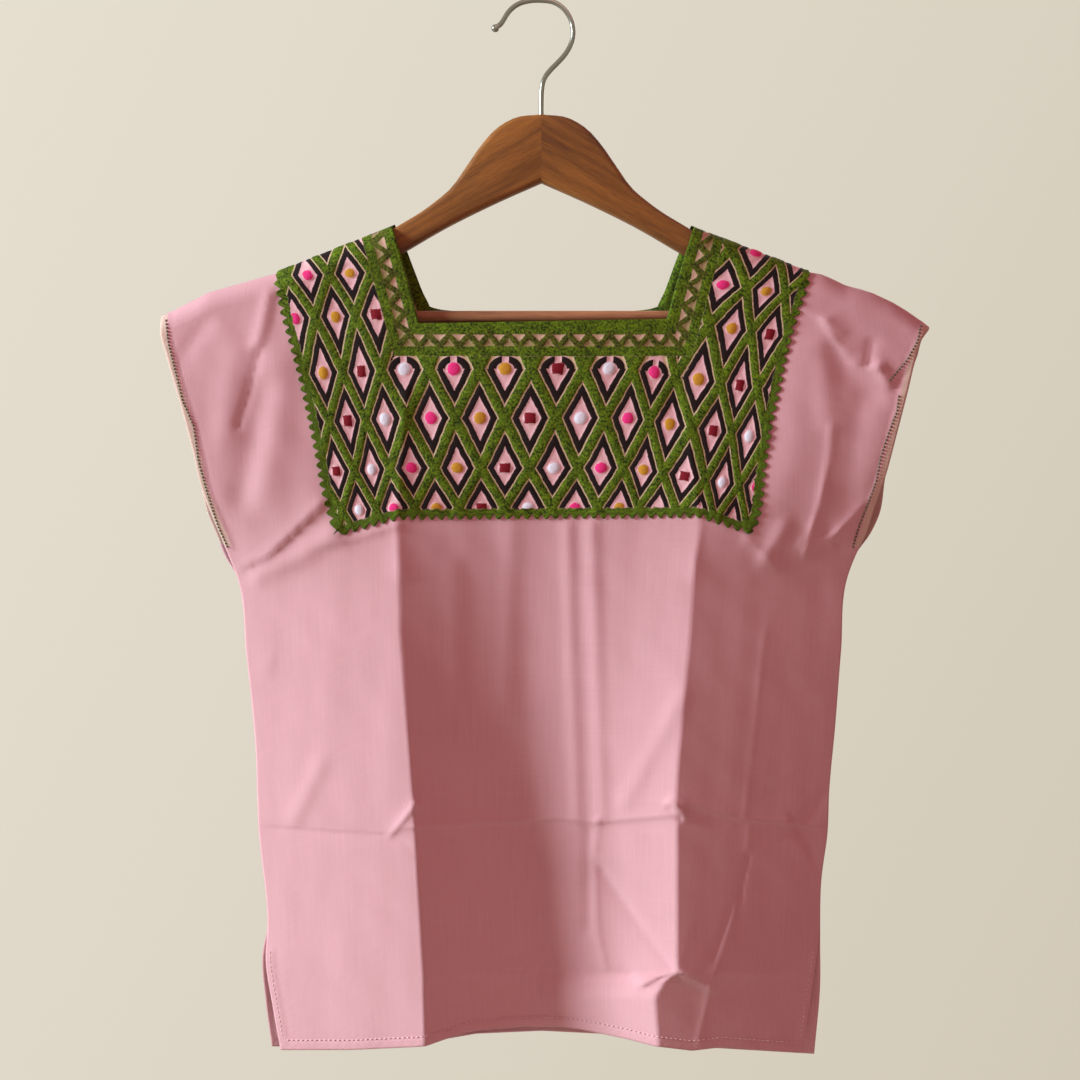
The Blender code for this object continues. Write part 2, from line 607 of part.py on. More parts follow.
def hanger_arm(name, side, material):
    """One arm: its outline pushed through the thickness and rounded, with seats for hook and bar."""
    outline = [(x, drop) for drop, x in ARM_TOP]
    outline += [(ARM_END_X, drop) for drop in ARM_END_DROPS]
    outline += [(x, drop) for drop, x in reversed(ARM_UNDER)]
    bm = bmesh.new()
    gap = SEAM_GAP / 2
    half = ARM_THICKNESS / 2
    front = [bm.verts.new((side * max(x, gap) * MM, -half * MM, -drop * MM)) for x, drop in outline]
    face = bm.faces.new(front)
    pushed = bmesh.ops.extrude_face_region(bm, geom=[face])["geom"]
    bmesh.ops.translate(bm, vec=(0, ARM_THICKNESS * MM, 0),
                        verts=[g for g in pushed if isinstance(g, bmesh.types.BMVert)])
    bmesh.ops.recalc_face_normals(bm, faces=bm.faces[:])
    joint = 2 * gap * MM
    rims = [e for e in bm.edges if e.verts[0].co.y == e.verts[1].co.y
            and not all(abs(v.co.x) < joint for v in e.verts)]
    bmesh.ops.bevel(bm, geom=rims, offset=ARM_ROUNDING * MM, segments=3, profile=0.5, affect="EDGES",
                    clamp_overlap=True, material=-1)
    arm = new_object(name, bm, material)
    seat = cutter(f"{name}_bar_seat", BAR_DIAMETER / 2 + SEAM_GAP, BAR_SOCKET + CUT_BEYOND, "X",
                  (side * (BAR_SEAT_X + (BAR_SOCKET - CUT_BEYOND) / 2), 0, -BAR_DROP))
    stem = cutter(f"{name}_stem_seat", WIRE_DIAMETER / 2 + SEAM_GAP, CUT_BEYOND, "Z",
                  (0, 0, CUT_BEYOND / 2 - STEM_SEAT_DROP - SEAM_GAP))
    for tool in (seat, stem):
        cut = arm.modifiers.new(tool.name, "BOOLEAN")
        cut.operation = "DIFFERENCE"
        cut.object = tool
    return arm


def round_bar(bm, radius, length, axis, sides=16):
    """A capped cylinder along X or Z, centred on the origin, in mm."""
    bmesh.ops.create_cone(bm, cap_ends=True, segments=sides, radius1=radius * MM, radius2=radius * MM,
                          depth=length * MM)
    if axis == "X":
        turn = Vector((0, 0, 1)).rotation_difference(Vector((1, 0, 0))).to_matrix()
        bmesh.ops.rotate(bm, cent=(0, 0, 0), matrix=turn, verts=bm.verts[:])


def cutter(name, radius, length, axis, centre):
    bm = bmesh.new()
    round_bar(bm, radius, length, axis)
    mesh = bpy.data.meshes.new(name)
    bm.to_mesh(mesh)
    bm.free()
    tool = bpy.data.objects.new(name, mesh)
    tool.location = Vector(centre) * MM
    tool.hide_render = True
    tool.display_type = "WIRE"
    bpy.context.collection.objects.link(tool)
    return tool


def trouser_bar(material):
    bm = bmesh.new()
    round_bar(bm, BAR_DIAMETER / 2, 2 * (BAR_SEAT_X + BAR_SOCKET - SEAM_GAP), "X")
    bar = new_object("hanger_bar", bm, material)
    bar.location.z = -BAR_DROP * MM
    return bar


def hook(material):
    """The bent wire, thick at its ball tip, down to its seat in the wood."""
    route = HOOK_ROUTE + ((0, -STEM_SEAT_DROP),)
    reach = [0.0]
    for (x0, z0), (x1, z1) in zip(route, route[1:]):
        reach.append(reach[-1] + math.hypot(x1 - x0, z1 - z0))
    xs = [(r, p[0]) for r, p in zip(reach, route)]
    zs = [(r, p[1]) for r, p in zip(reach, route)]
    curve = bpy.data.curves.new("hook", "CURVE")
    curve.dimensions = "3D"
    curve.bevel_depth = WIRE_DIAMETER / 2 * MM
    curve.bevel_resolution = HOOK_SIDES
    curve.use_fill_caps = True
    line = curve.splines.new("POLY")
    ball_end, wire = BALL_STOPS[-1], WIRE_DIAMETER / 2
    stops = list(BALL_STOPS)
    stops += [ball_end + (reach[-1] - ball_end) * i / HOOK_POINTS for i in range(1, HOOK_POINTS + 1)]
    line.points.add(len(stops) - 1)
    for point, stop in zip(line.points, stops):
        point.co = (spline(xs, stop) * MM, 0, spline(zs, stop) * MM, 1)
        round_end = math.sqrt(max(BALL_RADIUS**2 - (stop - BALL_RADIUS) ** 2, 0))
        point.radius = max(round_end, wire if stop > BALL_RADIUS else BALL_FLAT) / wire
    obj = bpy.data.objects.new("hook", curve)
    bpy.context.collection.objects.link(obj)
    curve.materials.append(material)
    return obj


def clear_scene():
    for obj in list(bpy.data.objects):
        bpy.data.objects.remove(obj, do_unlink=True)


def main():
    clear_scene()
    cotton = material_of("pink cotton", PINK_COTTON)
    thread = material_of("green embroidery", GREEN_THREAD)
    wood = material_of("walnut", WALNUT)
    steel = material_of("steel wire", STEEL)
    for panel in (FRONT, BACK):
        cloth_panel(panel, cotton)
    for yoke in (YOKE_FRONT, YOKE_BACK):
        yoke_piece(yoke, thread)
    hanger_arm("hanger_arm_left", -1, wood)
    hanger_arm("hanger_arm_right", 1, wood)
    trouser_bar(wood)
    hook(steel)


main()
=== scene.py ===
import logging
import math
from dataclasses import dataclass
from enum import Enum
from typing import Any, Callable

import bmesh
import bpy
import numpy as np
from mathutils import Matrix, Vector


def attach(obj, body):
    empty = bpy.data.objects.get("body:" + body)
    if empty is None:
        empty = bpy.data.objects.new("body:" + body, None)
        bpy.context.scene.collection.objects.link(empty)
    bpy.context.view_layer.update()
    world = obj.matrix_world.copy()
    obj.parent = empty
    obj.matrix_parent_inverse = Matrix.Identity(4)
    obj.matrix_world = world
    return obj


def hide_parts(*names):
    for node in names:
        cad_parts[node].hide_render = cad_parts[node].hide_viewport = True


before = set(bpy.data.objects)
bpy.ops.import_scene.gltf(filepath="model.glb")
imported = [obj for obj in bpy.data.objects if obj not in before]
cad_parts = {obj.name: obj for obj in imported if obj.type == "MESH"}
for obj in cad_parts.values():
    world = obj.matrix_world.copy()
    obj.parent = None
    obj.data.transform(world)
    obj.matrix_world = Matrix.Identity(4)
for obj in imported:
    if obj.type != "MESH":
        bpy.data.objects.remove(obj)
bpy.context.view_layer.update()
log = logging.getLogger("blouse")

# Lengths are in mm until a piece's points are set, x runs right of the middle, and a drop is measured
# down from where the hook hangs. Depth is how far the cloth stands off the hanger's middle plane.
MM = 0.001
VIEW_DISTANCE = 1400.0
VIEW_X = -1.0
VIEW_DROP = 360.3

Array = np.ndarray
Points = tuple[tuple[float, float], ...]

# The cut, as seen from the front. Each row is drop, x, but for the shoulder and the hems: x, drop.
SHOULDER: Points = (
    (-256, 211), (-223, 194), (-177, 181), (-90, 146.5), (90, 146.5), (179, 180.5), (188, 182),
    (196, 185.5), (204, 189.5), (214, 192), (222, 194.5), (236, 201), (245, 206.5), (253, 212),
    (261, 218.5))
LEFT_CAP: Points = ((211, -255), (219, -256), (240, -251), (271, -242), (301, -234), (326, -228))
RIGHT_CAP: Points = ((219, 260), (240, 251), (260, 246), (291, 238), (317, 231))
LEFT_SIDE: Points = ((383, -205), (438, -198), (498, -192), (552, -190), (624, -184))
RIGHT_SIDE: Points = ((383, 206), (435, 201), (486, 197), (530, 193), (556, 192), (586, 188))
LEFT_EDGE: Points = (LEFT_CAP + ((343, -221.5), (357, -215.5), (372, -209.5)) + LEFT_SIDE
                     + ((639, -185), (675, -180), (703, -175)))
RIGHT_EDGE: Points = (RIGHT_CAP + ((340, 223), (357, 217.5), (368, 212)) + RIGHT_SIDE
                      + ((629, 186), (659, 182), (703, 175)))
BACK_LEFT_EDGE: Points = (LEFT_CAP + ((343, -224), (357, -218), (372, -212)) + LEFT_SIDE
                          + ((639, -187), (675, -185), (706, -181)))
BACK_RIGHT_EDGE: Points = (RIGHT_CAP + ((345, 226), (357, 220), (368, 212)) + RIGHT_SIDE
                           + ((629, 187), (659, 187), (706, 183)))
LEFT_CREASE: Points = (
    (149, -100), (215, -82), (280, -90), (346, -97), (377, -96), (421, -95), (472, -91),
    (535, -86), (553, -85), (570, -84), (654, -79), (706, -78))
RIGHT_CREASE: Points = (
    (149, 102), (212, 84), (280, 95), (350, 107), (377, 103), (421, 100), (464, 96),
    (508, 92), (535, 90), (552, 91), (651, 91), (657, 82), (667, 76), (706, 79))
BACK_LEFT_CREASE: Points = ((149, -98), (207, -75), (280, -88)) + LEFT_CREASE[3:]
BACK_RIGHT_CREASE: Points = ((149, 100), (207, 78), (280, 93)) + RIGHT_CREASE[3:]
FRONT_HEM: Points = (
    (-175, 702.5), (-129, 702.5), (-85, 700.5), (-78, 700), (-61, 694), (-44, 689.5), (-12, 687),
    (12, 687), (28, 689), (57, 695), (76, 700), (101, 703), (122, 700.5), (145, 702.5), (175, 704.5))
BACK_HEM: Points = (
    (-181, 700), (-100, 700), (-70, 696), (-44, 691.5), (0, 689.5), (40, 691.5), (90, 699.5), (183, 705))

# How far the cloth stands out at each drop: at the left edge, half way to the left crease, at it, in the
# middle, at the right crease, half way to the right edge, and at that edge.
FRONT_DEPTH: tuple[tuple[float, ...], ...] = (
    (149, 11, 11, 11, 11, 11, 11, 11),
    (180, 10, 11, 11, 12, 11, 11, 10),
    (215, 9, 12, 12, 13, 12, 12, 9),
    (245, 14, 14, 13, 14, 13, 14, 12),
    (290, 17, 17, 14, 14, 15, 17, 15),
    (335, 13, 19, 18, 13, 19, 18, 11),
    (358, 7, 17, 21, 11, 21, 15, 6),
    (383, 0.6, 15, 24, 9, 23, 13, 0.6),
    (440, 0.6, 16, 28, 4, 27, 15, 0.6),
    (553, 0.6, 20, 35, -3, 33, 18, 0.6),
    (640, 0.7, 21, 38, -6, 37, 21, 0.7),
    (706, 4, 22, 40, -8, 36, 23, 4))
BACK_DEPTH: tuple[tuple[float, ...], ...] = (
    (149, 11, 11, 11, 11, 11, 11, 11),
    (180, 10, 12, 12, 13, 12, 12, 10),
    (215, 9, 14, 14, 15, 14, 14, 9),
    (245, 14, 16, 15, 17, 15, 16, 12),
    (290, 17, 18, 16, 20, 16, 18, 15),
    (335, 13, 17, 15, 22, 15, 17, 11),
    (358, 7, 14, 13, 23, 13, 14, 6),
    (383, 0.6, 12, 11, 24, 11, 12, 0.6),
    (440, 0.6, 11, 9, 26, 9, 11, 0.6),
    (553, 0.6, 9, 5, 30, 5, 9, 0.6),
    (640, 0.7, 9, 4, 33, 4, 9, 0.7),
    (706, 7, 11, 5, 35, 5, 11, 7))
VALLEY_PLACE = 0.44
VALLEY_POWER = 1.55
ARCH_DROP = 12.0
SEAM_DEPTH = 0.6
SLIT_TOP = 636.0
FOLD_DROP = 553.0
UNDERARM_DROP = 352.0
HEM_WIDTH = 6.7
SLIT_HEM = 3.2
SLEEVE_HEM = 3.8
SLEEVE_END = UNDERARM_DROP + 14
SLEEVE_TOP = 222.0
NECK_TOP = 149.0
SLIT_STITCH_END = 696.0
SIDE_ZONE = 130.0
STEP_FALL = 1.5
EDGE_CALM = 8
END_FADE = 1.2
SMOOTH_ANGLE = math.radians(50)


def smooth_line(points: Points, at: Array) -> Array:
    """Reads a smooth curve through (place, value) pairs.

    Args:
        points: The pairs, in the order of their places.
        at: The places to read.

    Returns:
        The value at each place.
    """
    places = np.array([p[0] for p in points], float)
    values = np.array([p[1] for p in points], float)
    slopes = np.gradient(values, places)
    i = np.clip(np.searchsorted(places, at, side="right") - 1, 0, len(points) - 2)
    span = places[i + 1] - places[i]
    t = np.clip((at - places[i]) / span, 0, 1)
    return ((2 * t**3 - 3 * t**2 + 1) * values[i] + (t**3 - 2 * t**2 + t) * span * slopes[i]
            + (3 * t**2 - 2 * t**3) * values[i + 1] + (t**3 - t**2) * span * slopes[i + 1])


def straight_line(points: Points, at: Array) -> Array:
    """Reads the straight runs through (place, value) pairs at the given places."""
    return np.interp(at, [p[0] for p in points], [p[1] for p in points])


def shoulder_drop(x: Array) -> Array:
    """Returns the drop of the shoulder fold at x."""
    return straight_line(SHOULDER, x)


class Form(Enum):
    """The section of a crease: how the cloth falls away from its line."""

    RIDGE = "rounded on both sides"
    SHARP = "pressed to a line, falling away on both sides"
    STEP = "falls away below its line, spreads out above it"


@dataclass(frozen=True)
class Crease:
    """A fold laid over the cloth's main form, along a path of (x, drop) points."""

    form: Form
    path: Points
    height: float
    width: float
    ends: float = 0.0

    def rise(self, x: Array, drop: Array) -> Array:
        """Works out how far the crease lifts the cloth.

        Args:
            x: Places across.
            drop: Places down.

        Returns:
            The lift at each place, in mm.
        """
        nearest = np.full(x.shape, np.inf)
        away = np.zeros(x.shape)
        beyond = np.zeros(x.shape)
        lengths = [math.dist(a, b) for a, b in zip(self.path, self.path[1:])]
        last = len(lengths) - 1
        for number, ((x0, d0), (x1, d1)) in enumerate(zip(self.path, self.path[1:])):
            run_x, run_d = (x1 - x0) / lengths[number], (d1 - d0) / lengths[number]
            along = (x - x0) * run_x + (drop - d0) * run_d
            across = run_x * (drop - d0) - run_d * (x - x0)
            before, after = np.maximum(-along, 0), np.maximum(along - lengths[number], 0)
            gap = np.hypot(across, before + after)
            closer = gap < nearest
            nearest = np.where(closer, gap, nearest)
            away = np.where(closer, across, away)
            outside = (before if number == 0 else 0) + (after if number == last else 0)
            beyond = np.where(closer, outside, beyond)
        fade = np.exp(-((beyond / (self.ends or END_FADE * self.width)) ** 2))
        if self.form is Form.STEP:
            section = np.where(away < 0, np.exp(np.minimum(away, 0) / self.width),
                               np.exp(-np.maximum(away, 0) / STEP_FALL))
        elif self.form is Form.SHARP:
            section = np.exp(-np.abs(away) / self.width)
        else:
            section = np.exp(-((away / self.width) ** 2))
        return self.height * fade * section


FRONT_CREASES: tuple[Crease, ...] = (
    # Sleeve cap folded over at the right.
    Crease(Form.STEP, ((172, 203), (191, 213), (201, 221)), 0.9, 4, ends=3),
    Crease(Form.STEP, ((190, 214), (198, 228), (209, 240.5), (219, 245.5), (227, 244)), 2.0, 8, ends=4),
    Crease(Form.RIDGE, ((196, 236), (206, 250), (222, 262)), -1.6, 9),
    Crease(Form.SHARP, ((222, 229), (219, 241)), -1.6, 3, ends=5),
    Crease(Form.SHARP, ((208, 237), (217, 243), (222, 241)), -1.2, 1.8, ends=2),
    Crease(Form.SHARP, ((225.5, 244), (230, 251), (235.5, 257)), 3.2, 2.4, ends=2),
    Crease(Form.STEP, ((256, 226), (249, 243), (236, 257)), -3.2, 5, ends=3),
    Crease(Form.SHARP, ((195, 285), (193, 306), (187, 335), (177, 369)), 1.7, 2.6),
    Crease(Form.RIDGE, ((190, 230), (192, 280)), 1.6, 9),
    Crease(Form.RIDGE, ((177, 232), (170, 310)), 1.2, 12),
    Crease(Form.RIDGE, ((214, 268), (203, 335)), -1.0, 8),
    Crease(Form.SHARP, ((196, 357), (211, 342), (224, 328)), 2.0, 2.6),
    Crease(Form.STEP, ((222, 349), (208, 353), (196, 357)), 1.2, 5),
    Crease(Form.SHARP, ((197, 358), (201, 368)), -1.3, 2),
    Crease(Form.SHARP, ((184, 350), (194, 357)), -0.9, 2.5),
    # Drag lines under the left arm and on its sleeve.
    Crease(Form.STEP, ((-203, 381), (-184, 371), (-165, 353), (-148, 337)), 2.4, 8, ends=6),
    Crease(Form.SHARP, ((-202, 383), (-192, 377)), -1.4, 2.5),
    Crease(Form.RIDGE, ((-190, 384), (-166, 374), (-140, 356)), 1.8, 7),
    Crease(Form.STEP, ((-141, 363), (-122, 359), (-99, 352)), 1.3, 6),
    Crease(Form.RIDGE, ((-183, 196), (-187, 215), (-191, 229)), 1.6, 3.5),
    Crease(Form.SHARP, ((-189, 232), (-196, 260), (-204, 285)), -1.6, 1.8, ends=2),
    Crease(Form.RIDGE, ((-205, 240), (-213, 290)), 1.2, 9),
    Crease(Form.RIDGE, ((-186, 262), (-200, 330)), -2.0, 9),
    Crease(Form.RIDGE, ((-226, 216), (-246, 244)), -1.0, 6),
    Crease(Form.RIDGE, ((-178, 245), (-186, 320)), 1.5, 12),
    Crease(Form.SHARP, ((-197, 438), (-182, 440)), 0.8, 2.5),
    Crease(Form.SHARP, ((-197, 450), (-184, 448)), 0.7, 2.5),
    # Pressed cross fold.
    Crease(Form.SHARP, ((-190, 552), (-142, 556), (-102, 558)), -1.5, 5),
    Crease(Form.STEP, ((-190, 551), (-142, 555), (-102, 557)), 0.8, 4),
    Crease(Form.SHARP, ((-101, 558), (-92, 547), (-84, 537)), 2.4, 2.6),
    Crease(Form.SHARP, ((-101, 559), (-92, 564), (-84, 572)), -0.9, 3.5),
    Crease(Form.STEP, ((-84, 553), (12, 547), (35, 550), (88, 545)), 1.6, 8),
    Crease(Form.STEP, ((95, 537), (139, 548), (171, 551), (192, 554)), 1.9, 6),
    Crease(Form.SHARP, ((85, 536), (94, 541), (97, 547)), 2.4, 2.2, ends=2),
    Crease(Form.SHARP, ((86, 541), (92, 548)), -1.6, 2, ends=2),
    Crease(Form.STEP, ((190, 530), (171, 551)), -2.0, 9),
    Crease(Form.STEP, ((171, 553), (187, 585)), -2.0, 8),
    # Slack cloth below the fold at the right.
    Crease(Form.SHARP, ((37.5, 548), (35, 575), (37.5, 624), (43, 648)), 1.6, 1.8),
    Crease(Form.RIDGE, ((32, 556), (31, 620)), -1.4, 4),
    Crease(Form.STEP, ((87, 646), (64, 615), (43, 585)), -3.6, 9),
    Crease(Form.STEP, ((70, 658), (78, 653.5), (91, 650.5), (100, 654), (112, 661)), 4.2, 14, ends=5),
    Crease(Form.SHARP, ((150, 421), (143, 485), (136.5, 546)), 0.5, 2),
    Crease(Form.SHARP, ((139.5, 554), (136, 590), (130, 622)), 0.7, 1.8),
    Crease(Form.SHARP, ((138, 574), (134.5, 592), (130.5, 622)), -2.2, 1.3, ends=4),
    Crease(Form.SHARP, ((131, 606), (113.5, 660), (105, 697)), 1.1, 2.2),
    Crease(Form.SHARP, ((128, 607), (116, 640)), -1.0, 2),
    Crease(Form.RIDGE, ((93, 467), (57, 535)), 1.0, 6),
    Crease(Form.RIDGE, ((-149, 512), (-165, 546)), 1.2, 6),
    Crease(Form.RIDGE, ((18, 352), (20, 441), (24, 545)), 1.2, 4.5),
    Crease(Form.RIDGE, ((34, 352), (37, 441), (40, 545)), 1.3, 5),
    Crease(Form.RIDGE, ((-20, 352), (-24, 470)), 0.9, 7),
    Crease(Form.RIDGE, ((-60, 380), (-56, 500)), 0.8, 9),
    Crease(Form.SHARP, ((-91, 262), (-97, 346), (-95, 380)), 2.2, 8),
    Crease(Form.SHARP, ((98, 285), (106, 346), (103, 380)), 1.6, 8),
    Crease(Form.SHARP, ((139, 360), (157, 377)), 1.3, 3.5),
    Crease(Form.RIDGE, ((163, 352), (151, 372)), 1.6, 6),
    Crease(Form.SHARP, ((182, 350), (173, 364)), 1.2, 3.5),
    Crease(Form.SHARP, ((199, 354), (178, 366)), 1.2, 4),
)
BACK_CREASES: tuple[Crease, ...] = (
    Crease(Form.STEP, ((-192, 376), (-150, 360), (-118, 350)), 2.6, 9),
    Crease(Form.RIDGE, ((-185, 386), (-140, 372)), 1.8, 8),
    Crease(Form.STEP, ((120, 350), (155, 362), (194, 374)), 2.6, 9),
    Crease(Form.RIDGE, ((140, 368), (186, 384)), 1.6, 8),
    Crease(Form.STEP, ((-186, 555), (-84, 552), (-20, 549), (88, 550), (184, 553)), 1.5, 7),
    Crease(Form.SHARP, ((-92, 548), (-82, 562)), 1.8, 4),
    Crease(Form.RIDGE, ((-30, 596), (-48, 630), (-64, 672)), 2.8, 7),
    Crease(Form.SHARP, ((20, 585), (36, 640)), 1.2, 4),
    Crease(Form.RIDGE, ((176, 204), (200, 226), (228, 262)), 2.6, 11),
    Crease(Form.RIDGE, ((-184, 214), (-198, 280)), 2.2, 9),
    Crease(Form.RIDGE, ((-16, 330), (-20, 440), (-18, 540)), 1.3, 6),
    Crease(Form.RIDGE, ((26, 330), (30, 450), (28, 540)), 1.1, 5),
    Crease(Form.RIDGE, ((128, 400), (134, 520)), 1.2, 7),
    Crease(Form.RIDGE, ((-136, 420), (-140, 530)), 1.0, 8),
    Crease(Form.SHARP, ((120, 580), (102, 668)), 1.1, 3.5),
    Crease(Form.SHARP, ((-196, 440), (-180, 442)), 0.8, 2.5),
)


@dataclass(frozen=True)
class Ripple:
    """Slight unevenness of hung cotton: a few crossed waves."""

    seed: int
    height: float
    shortest: float
    longest: float
    lean: float
    waves: int = 14

    def rise(self, x: Array, drop: Array) -> Array:
        """Adds the waves up at the given places."""
        chance = np.random.default_rng(self.seed)
        total = np.zeros(x.shape)
        for _ in range(self.waves):
            length = chance.uniform(self.shortest, self.longest)
            turn = chance.normal(0, self.lean)
            phase = chance.uniform(0, 2 * math.pi)
            total += np.sin((x * math.cos(turn) + drop * math.sin(turn)) * 2 * math.pi / length + phase)
        return self.height * total / math.sqrt(self.waves)


@dataclass(frozen=True)
class Drape:
    """The hung form of one panel, front or back."""

    side: int
    lines: tuple[Points, ...]
    depths: tuple[tuple[float, ...], ...]
    creases: tuple[Crease, ...]
    hem: Points
    ripple: Ripple

    def line(self, number: int, drop: Array) -> Array:
        """Returns x of one of the four lines down the panel at each drop."""
        reader = straight_line if number in (1, 2) else smooth_line
        return reader(self.lines[number], drop)

    def depth(self, x: Array, drop: Array) -> Array:
        """Works out how far the outer face stands off the hanger's middle plane.

        Args:
            x: Places across.
            drop: Places down.

        Returns:
            The depth at each place, in mm.
        """
        drops = tuple(row[0] for row in self.depths)
        row = [smooth_line(tuple(zip(drops, (r[i] for r in self.depths))), drop) for i in range(1, 8)]
        row[0], row[6] = np.maximum(row[0], SEAM_DEPTH), np.maximum(row[6], SEAM_DEPTH)
        lines = [self.line(i, drop) for i in range(4)]
        t = [np.clip((x - a) / (b - a), 0, 1) for a, b in zip(lines, lines[1:])]
        depth = np.where(
            x < lines[1], through_three(row[0], row[1], row[2], t[0]),
            np.where(x < lines[2], valley(row[2], row[3], row[4], t[1]),
                     through_three(row[4], row[5], row[6], t[2])))
        inside = np.where(x < lines[1], t[0], np.where(x > lines[2], 1 - t[2], 1))
        edge_fade = np.minimum(1, EDGE_CALM * inside)
        laid = self.ripple.rise(x, drop) + sum(c.rise(x, drop) for c in self.creases)
        arch = np.clip((drop - shoulder_drop(x)) / ARCH_DROP, 0, 1)
        return (depth + edge_fade * laid) * np.sqrt(1 - (1 - arch) ** 2)

    def place(self, x: Array, drop: Array) -> Array:
        """Returns the outer face's points, in mm. Nearer cloth is seen larger, so it lies further in."""
        depth = self.depth(x, drop)
        scale = 1 + self.side * depth / VIEW_DISTANCE
        return np.stack((VIEW_X + (x - VIEW_X) * scale, self.side * depth,
                         -(VIEW_DROP + (drop - VIEW_DROP) * scale)), axis=-1)

    def outward(self, x: Array, drop: Array, step: float = 0.4) -> Array:
        """Returns the outer face's unit normals."""
        fold = shoulder_drop(x)
        low = np.maximum(drop, fold + step / 8)
        across = self.place(x + step, low) - self.place(x - step, low)
        down = self.place(x, low + step) - self.place(x, np.maximum(low - step, fold))
        normal = np.cross(across, down) * self.side
        return normal / np.linalg.norm(normal, axis=-1, keepdims=True)


def through_three(first: Array, middle: Array, last: Array, t: Array) -> Array:
    """Returns a parabola through three values at t = 0, 0.5 and 1."""
    return first * (1 - t) * (1 - 2 * t) + 4 * middle * t * (1 - t) + last * t * (2 * t - 1)


def valley(left: Array, middle: Array, right: Array, t: Array) -> Array:
    """Returns the hollow between the two creases, deepest left of the middle."""
    fall = (1 - np.minimum(t / VALLEY_PLACE, 1)) ** VALLEY_POWER
    climb = np.maximum((t - VALLEY_PLACE) / (1 - VALLEY_PLACE), 0) ** VALLEY_POWER
    return middle + (left - middle) * fall + (right - middle) * climb


FRONT = Drape(-1, (LEFT_EDGE, LEFT_CREASE, RIGHT_CREASE, RIGHT_EDGE), FRONT_DEPTH, FRONT_CREASES, FRONT_HEM,
              Ripple(seed=3, height=0.2, shortest=16, longest=60, lean=0.3))
BACK = Drape(1, (BACK_LEFT_EDGE, BACK_LEFT_CREASE, BACK_RIGHT_CREASE, BACK_RIGHT_EDGE), BACK_DEPTH,
             BACK_CREASES, BACK_HEM, Ripple(seed=8, height=0.4, shortest=16, longest=60, lean=0.35))


class Socket:
    """A value in a material's nodes. Arithmetic on it adds Math nodes."""

    def __init__(self, graph: "Graph", link: Any) -> None:
        """Wraps a node's output in a graph."""
        self.graph = graph
        self.link = link

    def __add__(self, other: "Socket | float") -> "Socket":
        """Returns self + other."""
        return self.graph.maths("ADD", self, other)

    def __sub__(self, other: "Socket | float") -> "Socket":
        """Returns self - other."""
        return self.graph.maths("SUBTRACT", self, other)

    def __rsub__(self, other: "Socket | float") -> "Socket":
        """Returns other - self."""
        return self.graph.maths("SUBTRACT", other, self)

    def __mul__(self, other: "Socket | float") -> "Socket":
        """Returns self * other."""
        return self.graph.maths("MULTIPLY", self, other)

    def __truediv__(self, other: "Socket | float") -> "Socket":
        """Returns self / other."""
        return self.graph.maths("DIVIDE", self, other)

    __radd__ = __add__
    __rmul__ = __mul__


